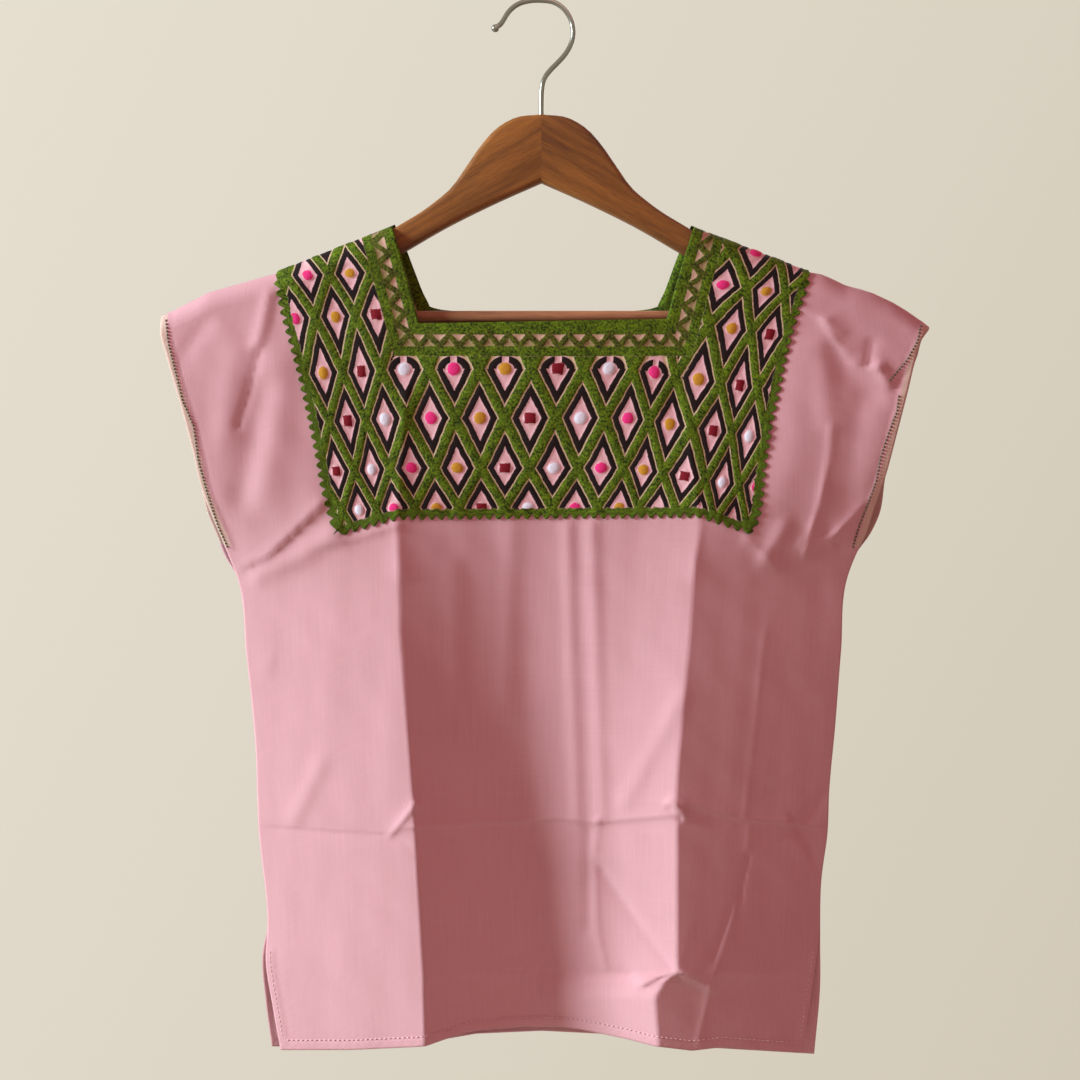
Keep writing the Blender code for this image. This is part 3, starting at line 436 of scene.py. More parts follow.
class Graph:
    """The nodes of a material or a world, built from Python expressions."""

    def __init__(self, owner: bpy.types.Material | bpy.types.World) -> None:
        """Starts the nodes of a new material or world."""
        self.owner = owner
        owner.use_nodes = True
        self.tree = owner.node_tree
        self.shader = self.tree.nodes.get("Principled BSDF") or self.tree.nodes["Background"]

    def node(self, kind: str, settings: dict[str, Any] | None = None,
             inputs: dict[str | int, Any] | None = None) -> bpy.types.Node:
        """Adds a node.

        Args:
            kind: The node's type.
            settings: Its own settings, set first. A ramp's stops are a list of (place, colour).
            inputs: The values or links of its sockets, by name or number.

        Returns:
            The node.
        """
        node = self.tree.nodes.new(kind)
        for name, value in (settings or {}).items():
            if name == "stops":
                ramp = node.color_ramp.elements
                while len(ramp) < len(value):
                    ramp.new(0.5)
                for element, (place, colour) in zip(ramp, value):
                    element.position = place
                    element.color = (*colour, 1)
            else:
                setattr(node, name, value)
        for key, value in (inputs or {}).items():
            self.feed(node.inputs[key], value)
        return node

    def feed(self, socket: bpy.types.NodeSocket, value: Any) -> None:
        """Links a value to a socket, or sets it there."""
        if isinstance(value, Socket):
            self.tree.links.new(value.link, socket)
        elif isinstance(value, bpy.types.NodeSocket):
            self.tree.links.new(value, socket)
        elif isinstance(value, tuple) and len(value) == 3 and len(socket.default_value) == 4:
            socket.default_value = (*value, 1)
        else:
            socket.default_value = value

    def maths(self, operation: str, *values: Any) -> Socket:
        """Adds a Math node and returns its result."""
        node = self.node("ShaderNodeMath", {"operation": operation}, dict(enumerate(values)))
        return Socket(self, node.outputs[0])

    def floor(self, value: Socket) -> Socket:
        """Returns the whole number below a value."""
        return self.maths("FLOOR", value)

    def size(self, value: Socket) -> Socket:
        """Returns a value without its sign."""
        return self.maths("ABSOLUTE", value)

    def larger(self, a: Any, b: Any) -> Socket:
        """Returns the larger of two values."""
        return self.maths("MAXIMUM", a, b)

    def smaller(self, a: Any, b: Any) -> Socket:
        """Returns the smaller of two values."""
        return self.maths("MINIMUM", a, b)

    def root(self, value: Socket) -> Socket:
        """Returns a square root."""
        return self.maths("SQRT", value)

    def noise(self, where: Any, scale: float, detail: float = 2, roughness: float = 0.5) -> Socket:
        """Returns a noise from 0 to 1."""
        node = self.node("ShaderNodeTexNoise", {},
                         {"Vector": where, "Scale": scale, "Detail": detail, "Roughness": roughness})
        return Socket(self, node.outputs["Fac"])

    def stretched(self, where: Any, scale: tuple[float, float, float], turn: float = 0) -> Any:
        """Returns a place scaled along its axes, after a turn about Y."""
        node = self.node("ShaderNodeMapping", {"vector_type": "POINT"},
                         {"Vector": where, "Rotation": (0, turn, 0), "Scale": scale})
        return node.outputs[0]

    def mix(self, factor: Any, a: Any, b: Any, blend: str = "MIX") -> Any:
        """Returns a blend of two colours."""
        node = self.node("ShaderNodeMix", {"data_type": "RGBA", "blend_type": blend, "clamp_factor": True},
                         {0: factor, 6: a, 7: b})
        return node.outputs[2]

    def parts(self, vector: Any) -> list[Socket]:
        """Returns the three numbers of a vector."""
        node = self.node("ShaderNodeSeparateXYZ", {}, {0: vector})
        return [Socket(self, output) for output in node.outputs]

    def attribute(self, name: str) -> list[Socket]:
        """Returns the three numbers that the mesh keeps under a name."""
        return self.parts(self.node("ShaderNodeAttribute", {"attribute_name": name}).outputs["Vector"])

    def cloth_place(self) -> Any:
        """Returns the place on the flat cloth, in metres."""
        return self.node("ShaderNodeUVMap", {"uv_map": "cloth"}).outputs[0]

    def object_place(self) -> Any:
        """Returns the place in the object, in metres."""
        return self.node("ShaderNodeTexCoord").outputs["Object"]

    def set_shader(self, **values: Any) -> None:
        """Sets the shader's sockets, named with _ for a space."""
        for name, value in values.items():
            self.feed(self.shader.inputs[name.replace("_", " ")], value)

    def bump(self, height: Any, depth_mm: float, strength: float = 1.0) -> None:
        """Feeds a height from 0 to 1, that deep, to the shader's normal."""
        node = self.node("ShaderNodeBump", {}, {"Height": height, "Distance": depth_mm * MM,
                                                "Strength": strength})
        self.feed(self.shader.inputs["Normal"], node.outputs[0])


class ArrayMaths:
    """The same sums as a Graph's, on arrays of points."""

    floor = staticmethod(np.floor)
    size = staticmethod(np.abs)
    larger = staticmethod(np.maximum)
    smaller = staticmethod(np.minimum)
    root = staticmethod(np.sqrt)


def above(maths: Any, value: Any, edge: float, soft: float) -> Any:
    """Returns 0 below an edge and 1 above it, blended over a soft width."""
    return maths.smaller(maths.larger((value - edge) / soft + 0.5, 0.0), 1.0)


@dataclass(frozen=True)
class Motif:
    """The embroidered pattern: a lattice of long diamonds, and a square border of triangles."""

    across: float = 32.5
    down: float = 33.3
    cell: float = 29.2
    band: float = 3.35
    gap: float = 0.85
    outline: float = 4.0
    knot: float = 4.1
    neck_band: float = 7.5
    border_in: float = 15.4
    border_out: float = 22.0
    triangle: float = 13.4
    thread: float = 1.85
    rim: float = 3.6
    curl_wide: float = 10.6
    curl_tall: float = 7.8
    curl_inner: float = 0.52
    curl_gap: float = 2.1
    clip_beyond: tuple[float, float] = (20.0, 14.0)
    zigzag_lean: float = 0.6
    zigzag_fuzz: float = 1.2
    knot_fuzz: float = 1.7
    patch: float = 3.608
    band_height: tuple[float, float, float] = (0.45, 0.4, 0.07)
    rib_height: tuple[float, float, float] = (0.6, 0.12, 2.4)
    knot_height: tuple[float, float] = (0.35, 0.65)
    black_height: float = 0.5
    field_height: float = 0.12

    def layers(self, maths: Any, lattice: list[Any], border: list[Any], under: float, soft: float,
               fuzz: Any = 0.0) -> dict[str, Any]:
        """Works out which thread covers each place.

        Args:
            maths: Graph or ArrayMaths, which does the sums.
            lattice: The two lattice numbers; a diamond's middle is where both are half numbers.
            border: Distance outside the neckline, distance along it, distance inside the outer edge.
            under: The width of the neckline's straight bottom.
            soft: Width over which one thread blends into the next, in mm.
            fuzz: Unevenness added to every edge, in mm.

        Returns:
            Masks from 0 to 1 and distances in mm, by name.
        """
        p, q = lattice
        beside, along, rim = border
        cell_p, cell_q = p - maths.floor(p) - 0.5, q - maths.floor(q) - 0.5
        reach = maths.larger(maths.size(cell_p), maths.size(cell_q)) * self.cell + fuzz
        half = self.cell / 2
        x, y = (cell_p + cell_q) * (self.across / 2), (cell_p - cell_q) * self.down
        first_row = 1 - above(maths, maths.size(maths.floor(p) - maths.floor(q)), 0.5, 0.1)
        clipped = (first_row * above(maths, along, -self.clip_beyond[0], 2)
                   * (1 - above(maths, along, under + self.clip_beyond[1], 2))
                   * (1 - above(maths, y, 0, 0.5)))
        curl = maths.root((x / self.curl_wide) * (x / self.curl_wide)
                          + (y / self.curl_tall) * (y / self.curl_tall))
        inner = half - self.band - self.gap - self.outline
        black = (above(maths, reach, inner, soft)
                 * (1 - above(maths, reach, half - self.band - self.gap, soft)))
        ring = (above(maths, curl, self.curl_inner, soft / 8) * (1 - above(maths, curl, 1.0, soft / 8))
                * above(maths, maths.size(x), self.curl_gap, soft))
        black = black * (1 - clipped) + ring * clipped
        band = above(maths, reach, half - self.band, soft)
        field = 1 - above(maths, reach, inner + self.outline / 2, soft)
        in_border = 1 - above(maths, beside + fuzz, self.border_out, soft)
        share = (beside - self.neck_band) / (self.border_in - self.neck_band)
        turn = along / self.triangle
        wave = maths.size((turn - maths.floor(turn)) * 2 - 1)
        zig = (maths.size(share - wave) * ((self.border_in - self.neck_band) * self.zigzag_lean)
               + fuzz * self.zigzag_fuzz)
        zigzag = 1 - above(maths, zig, self.thread, soft)
        edges = maths.larger(1 - above(maths, beside + fuzz, self.neck_band, soft),
                             above(maths, beside + fuzz, self.border_in, soft))
        rim_band = 1 - above(maths, rim + fuzz, self.rim, soft)
        green = maths.larger(in_border * maths.larger(edges, zigzag), (1 - in_border) * band)
        green = maths.larger(green, rim_band)
        open_ground = (1 - in_border) * (1 - green)
        radius = maths.root(x * x + y * y)
        square = maths.larger(maths.size(x), maths.size(y))
        return {"green": green, "black": black * open_ground, "field": field * open_ground,
                "knot": (1 - above(maths, radius + fuzz * self.knot_fuzz, self.knot, soft)) * open_ground,
                "patch": (1 - above(maths, square + fuzz * self.knot_fuzz, self.patch, soft)) * open_ground,
                "reach": reach, "radius": radius, "in_border": in_border, "zigzag": zigzag * in_border,
                "turn": maths.floor(p)}


MOTIF = Motif()

# Lattice number across the yoke, by the share of its width, and row number by drop.
COLUMN_SHARE: Points = ((-0.08, -2.0), (0.0, -1.0), (0.081, 0.0), (0.162, 1.0), (0.262, 2.0), (0.367, 3.0),
                        (0.476, 4.0), (0.585, 5.0), (0.688, 6.0), (0.779, 7.0), (0.876, 8.0), (0.956, 9.0),
                        (1.05, 10.2))
ROW_DROP: Points = ((120, -4.3), (155, -3.0), (179.5, -2.0), (208, -1.0), (245.5, 0.0), (278.5, 1.0),
                    (312, 2.0), (338.5, 3.0), (372, 4.2))
LEFT_SHIFT: Points = ((155, 4.7), (209, 4.7), (245, 2.7), (277, -0.3), (311, -2.3), (339, -4.0))
RIGHT_SHIFT: Points = (
    (155, 5.3), (180, 5.3), (209, -1.3), (245, -3.4), (277, -2.2), (311, -1.3), (339, -1.3))


# The lattice's sides at their top, as x and lean for each mm down, and how its rows tilt past an x.
LATTICE_TOP = 179.8
LATTICE_LEFT = (-176.8, 0.2208)
LATTICE_RIGHT = (180.5, -0.2359)
ROW_TILT_LEFT = (90, 0.05)
ROW_TILT_RIGHT = (60, 0.155)


class Linear:
    """Colours as a camera's picture shows them, turned to linear light."""

    @staticmethod
    def of(red: float, green: float, blue: float) -> tuple[float, float, float]:
        """Returns the linear colour of three numbers from 0 to 255."""
        return tuple(((c / 255 + 0.055) / 1.055) ** 2.4 if c > 10 else c / 3295 for c in (red, green, blue))


@dataclass(frozen=True)
class Embroidery:
    """Green bands, black outlines and coloured knots in dense thread."""

    under: float
    name: str = "embroidery"
    green_light: tuple[float, float, float] = Linear.of(113, 134, 20)
    green_dark: tuple[float, float, float] = Linear.of(26, 36, 0)
    black: tuple[float, float, float] = Linear.of(24, 6, 8)
    field: tuple[float, float, float] = Linear.of(234, 176, 182)
    gap: tuple[float, float, float] = Linear.of(212, 176, 144)
    triangle: tuple[float, float, float] = Linear.of(204, 160, 138)
    triangle_dark: tuple[float, float, float] = Linear.of(158, 130, 92)
    zigzag_light: tuple[float, float, float] = Linear.of(104, 100, 34)
    zigzag_dark: tuple[float, float, float] = Linear.of(44, 40, 8)
    white: tuple[float, float, float] = Linear.of(236, 222, 236)
    pink: tuple[float, float, float] = Linear.of(246, 52, 128)
    gold: tuple[float, float, float] = Linear.of(206, 142, 44)
    burgundy: tuple[float, float, float] = Linear.of(128, 18, 34)

    def thread(self, g: Graph) -> tuple[Any, Socket]:
        """Works out the thread's colour from the lattice and border numbers of the mesh.

        Args:
            g: The material's graph.

        Returns:
            The colour, and the height of the stitches from 0 to 1.
        """
        place = g.cloth_place()
        p, q, _ = g.attribute("lattice")
        border = g.attribute("border")
        fine = g.noise(place, 1300.0, 2, 0.6)
        coarse = g.noise(place, 160.0, 2, 0.5)
        fuzz = (fine - 0.5) * 1.1 + (coarse - 0.5) * 1.4
        layers = MOTIF.layers(g, [p, q], border, self.under, 0.35, fuzz)
        stitch = g.noise(g.stretched(place, (1500, 700, 1)), 1.0, 2, 0.7)
        specks = g.noise(place, 620.0, 2, 0.6)
        tone = (specks - 0.5) * 2.7 + (stitch - 0.5) * 0.8 + (coarse - 0.5) * 1.2 + 0.45
        green = g.mix(tone, self.green_dark, self.green_light)
        green = g.mix(layers["zigzag"] * 0.75, green, g.mix(tone, self.zigzag_dark, self.zigzag_light))
        triangle = g.mix(above(g, border[0], MOTIF.neck_band + 3.6, 2.5), self.triangle,
                         self.triangle_dark)
        ground = g.mix(layers["in_border"], self.gap, triangle)
        colour = g.mix(layers["field"], ground, self.field)
        colour = g.mix(layers["black"], colour, g.mix(tone, tuple(c * 0.6 for c in self.black),
                                                      tuple(c * 1.5 for c in self.black)))
        order = g.maths("FLOORED_MODULO", layers["turn"] - 1, 4.0)
        for number, knot in enumerate((self.white, self.pink, self.gold, self.burgundy)):
            mask = layers["patch" if number == 3 else "knot"]
            chosen = 1 - above(g, g.size(order - number), 0.5, 0.1)
            dyed = g.mix(stitch, tuple(c * 0.75 for c in knot), tuple(min(1, c * 1.15) for c in knot))
            colour = g.mix(mask * chosen, colour, dyed)
        return g.mix(layers["green"], colour, green), stitch * 0.7 + fine * 0.6

    def material(self) -> bpy.types.Material:
        """Builds the thread's material."""
        g = Graph(bpy.data.materials.new(self.name))
        colour, height = self.thread(g)
        g.set_shader(Base_Color=colour, Roughness=0.75, Specular_IOR_Level=0.16)
        g.bump(height, 0.35, 0.9)
        return g.owner


@dataclass(frozen=True)
class Cotton:
    """Plain-weave cotton, with slubs in both directions. Its inside shows the embroidery's reverse."""

    name: str
    reverse: Embroidery
    colour: tuple[float, float, float] = (0.72, 0.355, 0.392)
    turned: tuple[float, float, float] = (0.68, 0.47, 0.37)
    thread_mm: float = 0.55
    turned_mm: float = 4.4

    def material(self) -> bpy.types.Material:
        """Builds the cloth's material on its flat coordinates."""
        g = Graph(bpy.data.materials.new(self.name))
        place = g.cloth_place()
        warp = g.noise(g.stretched(place, (900, 22, 1)), 1.0, 3, 0.6)
        weft = g.noise(g.stretched(place, (18, 1100, 1)), 1.0, 3, 0.6)
        patches = g.noise(place, 22.0, 3, 0.55)
        shade = (warp - 0.5) * 0.34 + (weft - 0.5) * 0.22 + (patches - 0.5) * 0.16 + 0.5
        colour = g.mix(shade, tuple(c * 0.74 for c in self.colour),
                       tuple(min(1, c * 1.24) for c in self.colour))
        sleeve, _, _ = g.attribute("hem")
        band = 1 - above(g, sleeve, self.turned_mm, 0.8)
        colour = g.mix(band * 0.75, colour, self.turned)
        stitched = above(g, g.attribute("border")[2], 1.0, 1.0)
        colour = g.mix(stitched, colour, self.reverse.thread(g)[0])
        u, v, _ = g.parts(place)
        pitch = 2 * math.pi / (self.thread_mm * MM)
        weave = g.maths("SINE", u * pitch) * g.maths("SINE", v * pitch)
        height = weave * 0.25 + warp * 0.5 + weft * 0.4
        g.set_shader(Base_Color=colour, Roughness=0.88, Sheen_Weight=0.2, Sheen_Roughness=0.45,
                     Specular_IOR_Level=0.2)
        g.shader.inputs["Sheen Tint"].default_value = (1.0, 0.86, 0.88, 1)
        g.bump(height, 0.12, 0.8)
        return g.owner


@dataclass(frozen=True)
class Thread:
    """Sewing thread of one colour."""

    name: str
    colour: tuple[float, float, float]

    def material(self) -> bpy.types.Material:
        """Builds the thread's material, with the twist of its strands."""
        g = Graph(bpy.data.materials.new(self.name))
        place = g.object_place()
        twist = g.noise(g.stretched(place, (2200, 2200, 2200)), 1.0, 1, 0.5)
        g.set_shader(Base_Color=g.mix(twist, tuple(c * 0.7 for c in self.colour),
                                      tuple(min(1, c * 1.25) for c in self.colour)),
                     Roughness=0.6, Sheen_Weight=0.1)
        g.bump(twist, 0.15)
        return g.owner


@dataclass(frozen=True)
class Walnut:
    """Satin walnut, its grain along an arm that falls away at an angle."""

    name: str
    turn: float
    light: tuple[float, float, float] = Linear.of(168, 102, 44)
    dark: tuple[float, float, float] = Linear.of(84, 42, 14)

    def material(self) -> bpy.types.Material:
        """Builds the wood's material on object coordinates."""
        g = Graph(bpy.data.materials.new(self.name))
        place = g.stretched(g.object_place(), (1, 1, 1), self.turn)
        bands = g.noise(g.stretched(place, (9, 60, 130)), 1.0, 4, 0.6)
        streaks = g.noise(g.stretched(place, (30, 500, 900)), 1.0, 3, 0.65)
        pores = g.noise(g.stretched(place, (120, 2600, 2600)), 1.0, 2, 0.7)
        tone = bands * 1.7 + streaks * 0.9 - 0.82
        colour = g.mix(tone, self.dark, self.light)
        pore = above(g, pores, 0.62, 0.12)
        colour = g.mix(pore * 0.45, colour, tuple(c * 0.5 for c in self.dark))
        g.set_shader(Base_Color=colour, Roughness=streaks * 0.2 + 0.4, Coat_Weight=0.05,
                     Specular_IOR_Level=0.3)
        g.shader.inputs["Coat Roughness"].default_value = 0.25
        g.bump(1 - pore * 0.8 + streaks * 0.3, 0.12, 0.6)
        return g.owner


@dataclass(frozen=True)
class Steel:
    """Bright drawn steel wire."""

    name: str = "steel wire"
    colour: tuple[float, float, float] = (0.28, 0.26, 0.23)

    def material(self) -> bpy.types.Material:
        """Builds the wire's material, with faint drawing marks."""
        g = Graph(bpy.data.materials.new(self.name))
        marks = g.noise(g.stretched(g.object_place(), (600, 600, 140)), 1.0, 3, 0.6)
        g.set_shader(Base_Color=g.mix(marks, tuple(c * 0.86 for c in self.colour), self.colour),
                     Roughness=marks * 0.12 + 0.17, Metallic=1.0)
        g.bump(marks, 0.03, 0.5)
        return g.owner


@dataclass(frozen=True)
class PaleFloor:
    """Matt pale floor paint."""

    name: str = "pale floor"
    colour: tuple[float, float, float] = Linear.of(206, 193, 178)

    def material(self) -> bpy.types.Material:
        """Builds the floor's material."""
        g = Graph(bpy.data.materials.new(self.name))
        mottle = g.noise(g.object_place(), 5.0, 3)
        g.set_shader(Base_Color=g.mix(mottle, tuple(c * 0.96 for c in self.colour), self.colour),
                     Roughness=0.9)
        return g.owner


def new_piece(name: str, source: bmesh.types.BMesh | bpy.types.Mesh, material: bpy.types.Material,
              slot: str | None, smooth: bool = True) -> bpy.types.Object:
    """Makes an object of a mesh and lets it ride on the part.

    Args:
        name: The piece's name.
        source: Its mesh, or the bmesh to make it from.
        material: Its finish.
        slot: The piece's material kind, read only for whether it rides on the part; None for the floor.
        smooth: Whether its faces are shaded smooth.

    Returns:
        The object.
    """
    if isinstance(source, bmesh.types.BMesh):
        mesh = bpy.data.meshes.new(name)
        source.to_mesh(mesh)
        source.free()
    else:
        mesh = source
        mesh.name = name
    mesh.materials.append(material)
    if smooth:
        mesh.shade_smooth()
    obj = bpy.data.objects.new(name, mesh)
    bpy.context.scene.collection.objects.link(obj)
    if slot:
        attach(obj, "root")
    return obj


def keep_attribute(mesh: bpy.types.Mesh, name: str, values: Array) -> None:
    """Keeps three numbers for each point of a mesh under a name."""
    attribute = mesh.attributes.new(name, "FLOAT_VECTOR", "POINT")
    attribute.data.foreach_set("vector", values.astype(np.float32).ravel())


def keep_cloth_map(mesh: bpy.types.Mesh, flat: Array) -> None:
    """Gives a mesh its flat cloth coordinates, in metres, as the UV map that the weave reads."""
    corners = np.empty(len(mesh.loops), np.int32)
    mesh.loops.foreach_get("vertex_index", corners)
    layer = mesh.uv_layers.new(name="cloth")
    layer.data.foreach_set("uv", flat[corners].astype(np.float32).ravel())


@dataclass(frozen=True)
class Row:
    """Where a line across the cloth meets the four lines down it, and the steps up to it."""

    drops: tuple[float, float, float, float]
    steps: int


@dataclass
class Shell:
    """A sheet of cloth: a grid over a drape, with its own edges, open at the neck."""

    drape: Drape
    lines: tuple[Points, ...]
    rows: tuple[Row, ...]
    columns: tuple[int, int, int]
    top: tuple[float, ...] = (0.0, 0.12, 0.6, 1.6, 3.2, 5.6, 8.6, 12.0)
    edge_step: float = 1.3
    edge_steps: int = 6
    corner: float = 0.0
    corner_spread: tuple[float, float] = (8.0, 9.0)

    def column_places(self) -> tuple[Array, Array]:
        """Returns each column's zone and its share of the zone's width, closer near the side edges."""
        zones, shares = [], []
        for zone, count in enumerate(self.columns):
            t = np.linspace(0, 1, count + 1)
            if zone == 1:
                near = np.array([])
            else:
                near = np.arange(1, self.edge_steps + 1) * self.edge_step / SIDE_ZONE
                t = t[t > near[-1] + 0.5 / count] if zone == 0 else t[t < 1 - near[-1] - 0.5 / count]
                t = np.concatenate(([0], near, t)) if zone == 0 else np.concatenate((t, 1 - near[::-1], [1]))
            if zone < 2:
                t = t[:-1] if t[-1] == 1 else t
            zones += [zone] * len(t)
            shares += list(t)
        return np.array(zones), np.array(shares)

    def line_tops(self) -> Array:
        """Returns the drop at which each of the four lines leaves the shoulder fold."""
        return np.array([min(float(shoulder_drop(np.array(line[0][1]))), line[0][0]) for line in self.lines])

    def row_places(self) -> tuple[Array, Array]:
        """Returns each row's drop at the four lines, and its share of the shoulder's shape."""
        rows = [(list(self.line_tops() + step), 1.0) for step in self.top]
        before = rows[-1][0]
        for index, row in enumerate(self.rows):
            for step in range(1, row.steps + 1):
                t = step / row.steps
                drops = [a + (b - a) * t for a, b in zip(before, row.drops)]
                rows.append((drops, 1 - t if index == 0 else 0.0))
            before = row.drops
        drops, kept = zip(*rows)
        return np.array(drops), np.array(kept)

    def neck_rows(self) -> int:
        """Returns the number of rows above the bottom of the neckline."""
        return len(self.top) - 1 + self.rows[0].steps

    def lay_out(self) -> tuple[Array, Array, Array]:
        """Lays the grid's points on the seen outline.

        Returns:
            x and drop for each row and column, and each column's zone.
        """
        zone, share = self.column_places()
        drops, kept = self.row_places()
        x4 = np.stack([straight_line(line, drops[:, i]) if i in (1, 2) else smooth_line(line, drops[:, i])
                       for i, line in enumerate(self.lines)], axis=1)
        x = x4[:, zone] * (1 - share) + x4[:, zone + 1] * share
        drop = drops[:, zone] * (1 - share) + drops[:, zone + 1] * share
        tops = self.line_tops()
        chord = tops[zone] * (1 - share) + tops[zone + 1] * share
        away = np.minimum(np.abs(x - x4[:, 1:2]), np.abs(x - x4[:, 2:3]))
        across, down = self.corner_spread
        rounded = (self.corner * np.exp(-away / across)
                   * np.exp(-(((drop - self.rows[0].drops[1]) / down) ** 2)))
        return x, drop + kept[:, None] * (shoulder_drop(x) - chord) - rounded, zone

    def mesh(self, rise: Callable[[Array, Array], Array], lift: float, x: Array, drop: Array,
             zone: Array) -> tuple[bpy.types.Mesh, Array]:
        """Builds the sheet's mesh.

        Args:
            rise: Height of the fine relief over the drape, in mm, for x and drop.
            lift: Distance of the whole sheet off the drape, in mm.
            x: Place across of each row and column.
            drop: Place down of each row and column.
            zone: Each column's zone.

        Returns:
            The mesh, and the row and column of each of its points.
        """
        count_rows, count_columns = x.shape
        bm = bmesh.new()
        bmesh.ops.create_grid(bm, x_segments=count_columns - 1, y_segments=count_rows - 1, size=1.0)
        bm.verts.ensure_lookup_table()
        neck = self.neck_rows()
        spans = (2 / (count_columns - 1), 2 / (count_rows - 1))
        index = bm.verts.layers.int.new("grid")
        for vert in bm.verts:
            column, row = round((vert.co.x + 1) / spans[0]), round((1 - vert.co.y) / spans[1])
            vert[index] = row * count_columns + column
        opening = []
        for face in bm.faces:
            centre = face.calc_center_median()
            column, row = int((centre.x + 1) / spans[0]), int((1 - centre.y) / spans[1])
            if row < neck and zone[column] == 1:
                opening.append(face)
        bmesh.ops.delete(bm, geom=opening, context="FACES")
        if self.drape.side > 0:
            bmesh.ops.reverse_faces(bm, faces=bm.faces[:])
        mesh = bpy.data.meshes.new("shell")
        bm.to_mesh(mesh)
        bm.free()
        grid = np.empty(len(mesh.vertices), np.int32)
        mesh.attributes["grid"].data.foreach_get("value", grid)
        row, column = np.divmod(grid, count_columns)
        place = self.drape.place(x, drop)
        height = lift + rise(x, drop)
        outer = place + self.drape.outward(x, drop) * height[..., None]
        mesh.vertices.foreach_set("co", (outer[row, column] * MM).astype(np.float32).ravel())
        mesh.attributes.remove(mesh.attributes["grid"])
        keep_cloth_map(mesh, self.flat(place)[row, column])
        mesh.update()
        return mesh, np.stack((row, column), axis=-1)

    @staticmethod
    def flat(place: Array) -> Array:
        """Returns each grid point's place on the flat cloth, in metres, from the steps between points."""
        steps = np.linalg.norm(np.diff(place, axis=1), axis=-1)
        across = np.concatenate((np.zeros((len(place), 1)), np.cumsum(steps, axis=1)), axis=1)
        across -= across[:, [across.shape[1] // 2]]
        falls = np.linalg.norm(np.diff(place, axis=0), axis=-1)
        down = np.concatenate((np.zeros((1, place.shape[1])), np.cumsum(falls, axis=0)), axis=0)
        return np.stack((across, -down), axis=-1) * MM


def add_wall(obj: bpy.types.Object, thickness_mm: float) -> None:
    """Gives a sheet its thickness, inwards."""
    wall = obj.modifiers.new("wall", "SOLIDIFY")
    wall.thickness = thickness_mm * MM
    wall.offset = -1
    wall.use_rim = True


@dataclass
class PanelCloth:
    """The front or the back of the blouse, as a thin shell."""

    name: str
    node: str
    drape: Drape
    rows: tuple[Row, ...]
    columns: tuple[int, int, int]
    corner: float = 0.0
    cloth_mm: float = 0.7
    hem_rise: float = 0.35
    hem_blend: float = 0.5
    pull: float = 0.3
    pull_width: float = 1.1
    pucker: float = 0.12
    pucker_waves: tuple[float, float] = (0.9, 0.83)
    pucker_place: float = 4.0

    def shell(self) -> Shell:
        """Returns the panel's grid."""
        return Shell(self.drape, self.drape.lines, self.rows, self.columns, corner=self.corner)

    def edge_distance(self, x: Array, drop: Array) -> Array:
        """Returns the distance to the nearest turned hem: at the bottom, the slits and the sleeves."""
        bottom = straight_line(self.drape.hem, x) - drop
        side = np.minimum(x - self.drape.line(0, drop), self.drape.line(3, drop) - x)
        hemmed = (drop > SLIT_TOP) | (drop < SLEEVE_END)
        return np.minimum(bottom, np.where(hemmed, side, 1000))

    def relief(self, x: Array, drop: Array) -> Array:
        """Returns the turned hems' thickness and the line that their stitches pull in."""
        away = self.edge_distance(x, drop)
        turned = self.hem_rise / (1 + np.exp((away - HEM_WIDTH) / self.hem_blend))
        pulled = -self.pull * np.exp(-(((away - HEM_WIDTH) / self.pull_width) ** 2))
        waves = self.pucker * np.sin(x * self.pucker_waves[0]) * np.sin(drop * self.pucker_waves[1])
        near = np.exp(-(((away - self.pucker_place) / self.pucker_place) ** 2))
        return turned + pulled + waves * near

    def build(self, yoke: "Yoke") -> bpy.types.Object:
        """Builds the panel's piece.

        Args:
            yoke: The yoke sewn on it, whose reverse shows inside.

        Returns:
            The piece, which stands for the panel's node.
        """
        shell = self.shell()
        x, flat_drop, zone = shell.lay_out()
        drop = self.hem_line(x, flat_drop)
        mesh, grid = shell.mesh(self.relief, 0.0, x, drop, zone)
        row, column = grid[:, 0], grid[:, 1]
        sleeve = np.where(drop < SLEEVE_END, self.edge_distance(x, drop), 1000.0)
        keep_attribute(mesh, "lattice", yoke.lattice(x, drop)[row, column])
        keep_attribute(mesh, "border", yoke.border(x, drop)[row, column])
        keep_attribute(mesh, "hem", np.stack((sleeve, sleeve, sleeve), axis=-1)[row, column])
        finish = Cotton(f"{self.node} cotton", yoke.finish()).material()
        piece = new_piece(self.name, mesh, finish, "cotton")
        add_wall(piece, self.cloth_mm)
        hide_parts(self.node)
        return piece

    def hem_line(self, x: Array, drop: Array) -> Array:
        """Bends the rows below the cross fold towards the hem's seen curve."""
        lowest = self.rows[-1].drops
        zones = np.interp(x, [self.drape.lines[i][-1][1] for i in range(4)], lowest)
        share = np.clip((drop - FOLD_DROP) / (zones - FOLD_DROP), 0, 1)
        return drop + (straight_line(self.drape.hem, x) - zones) * share


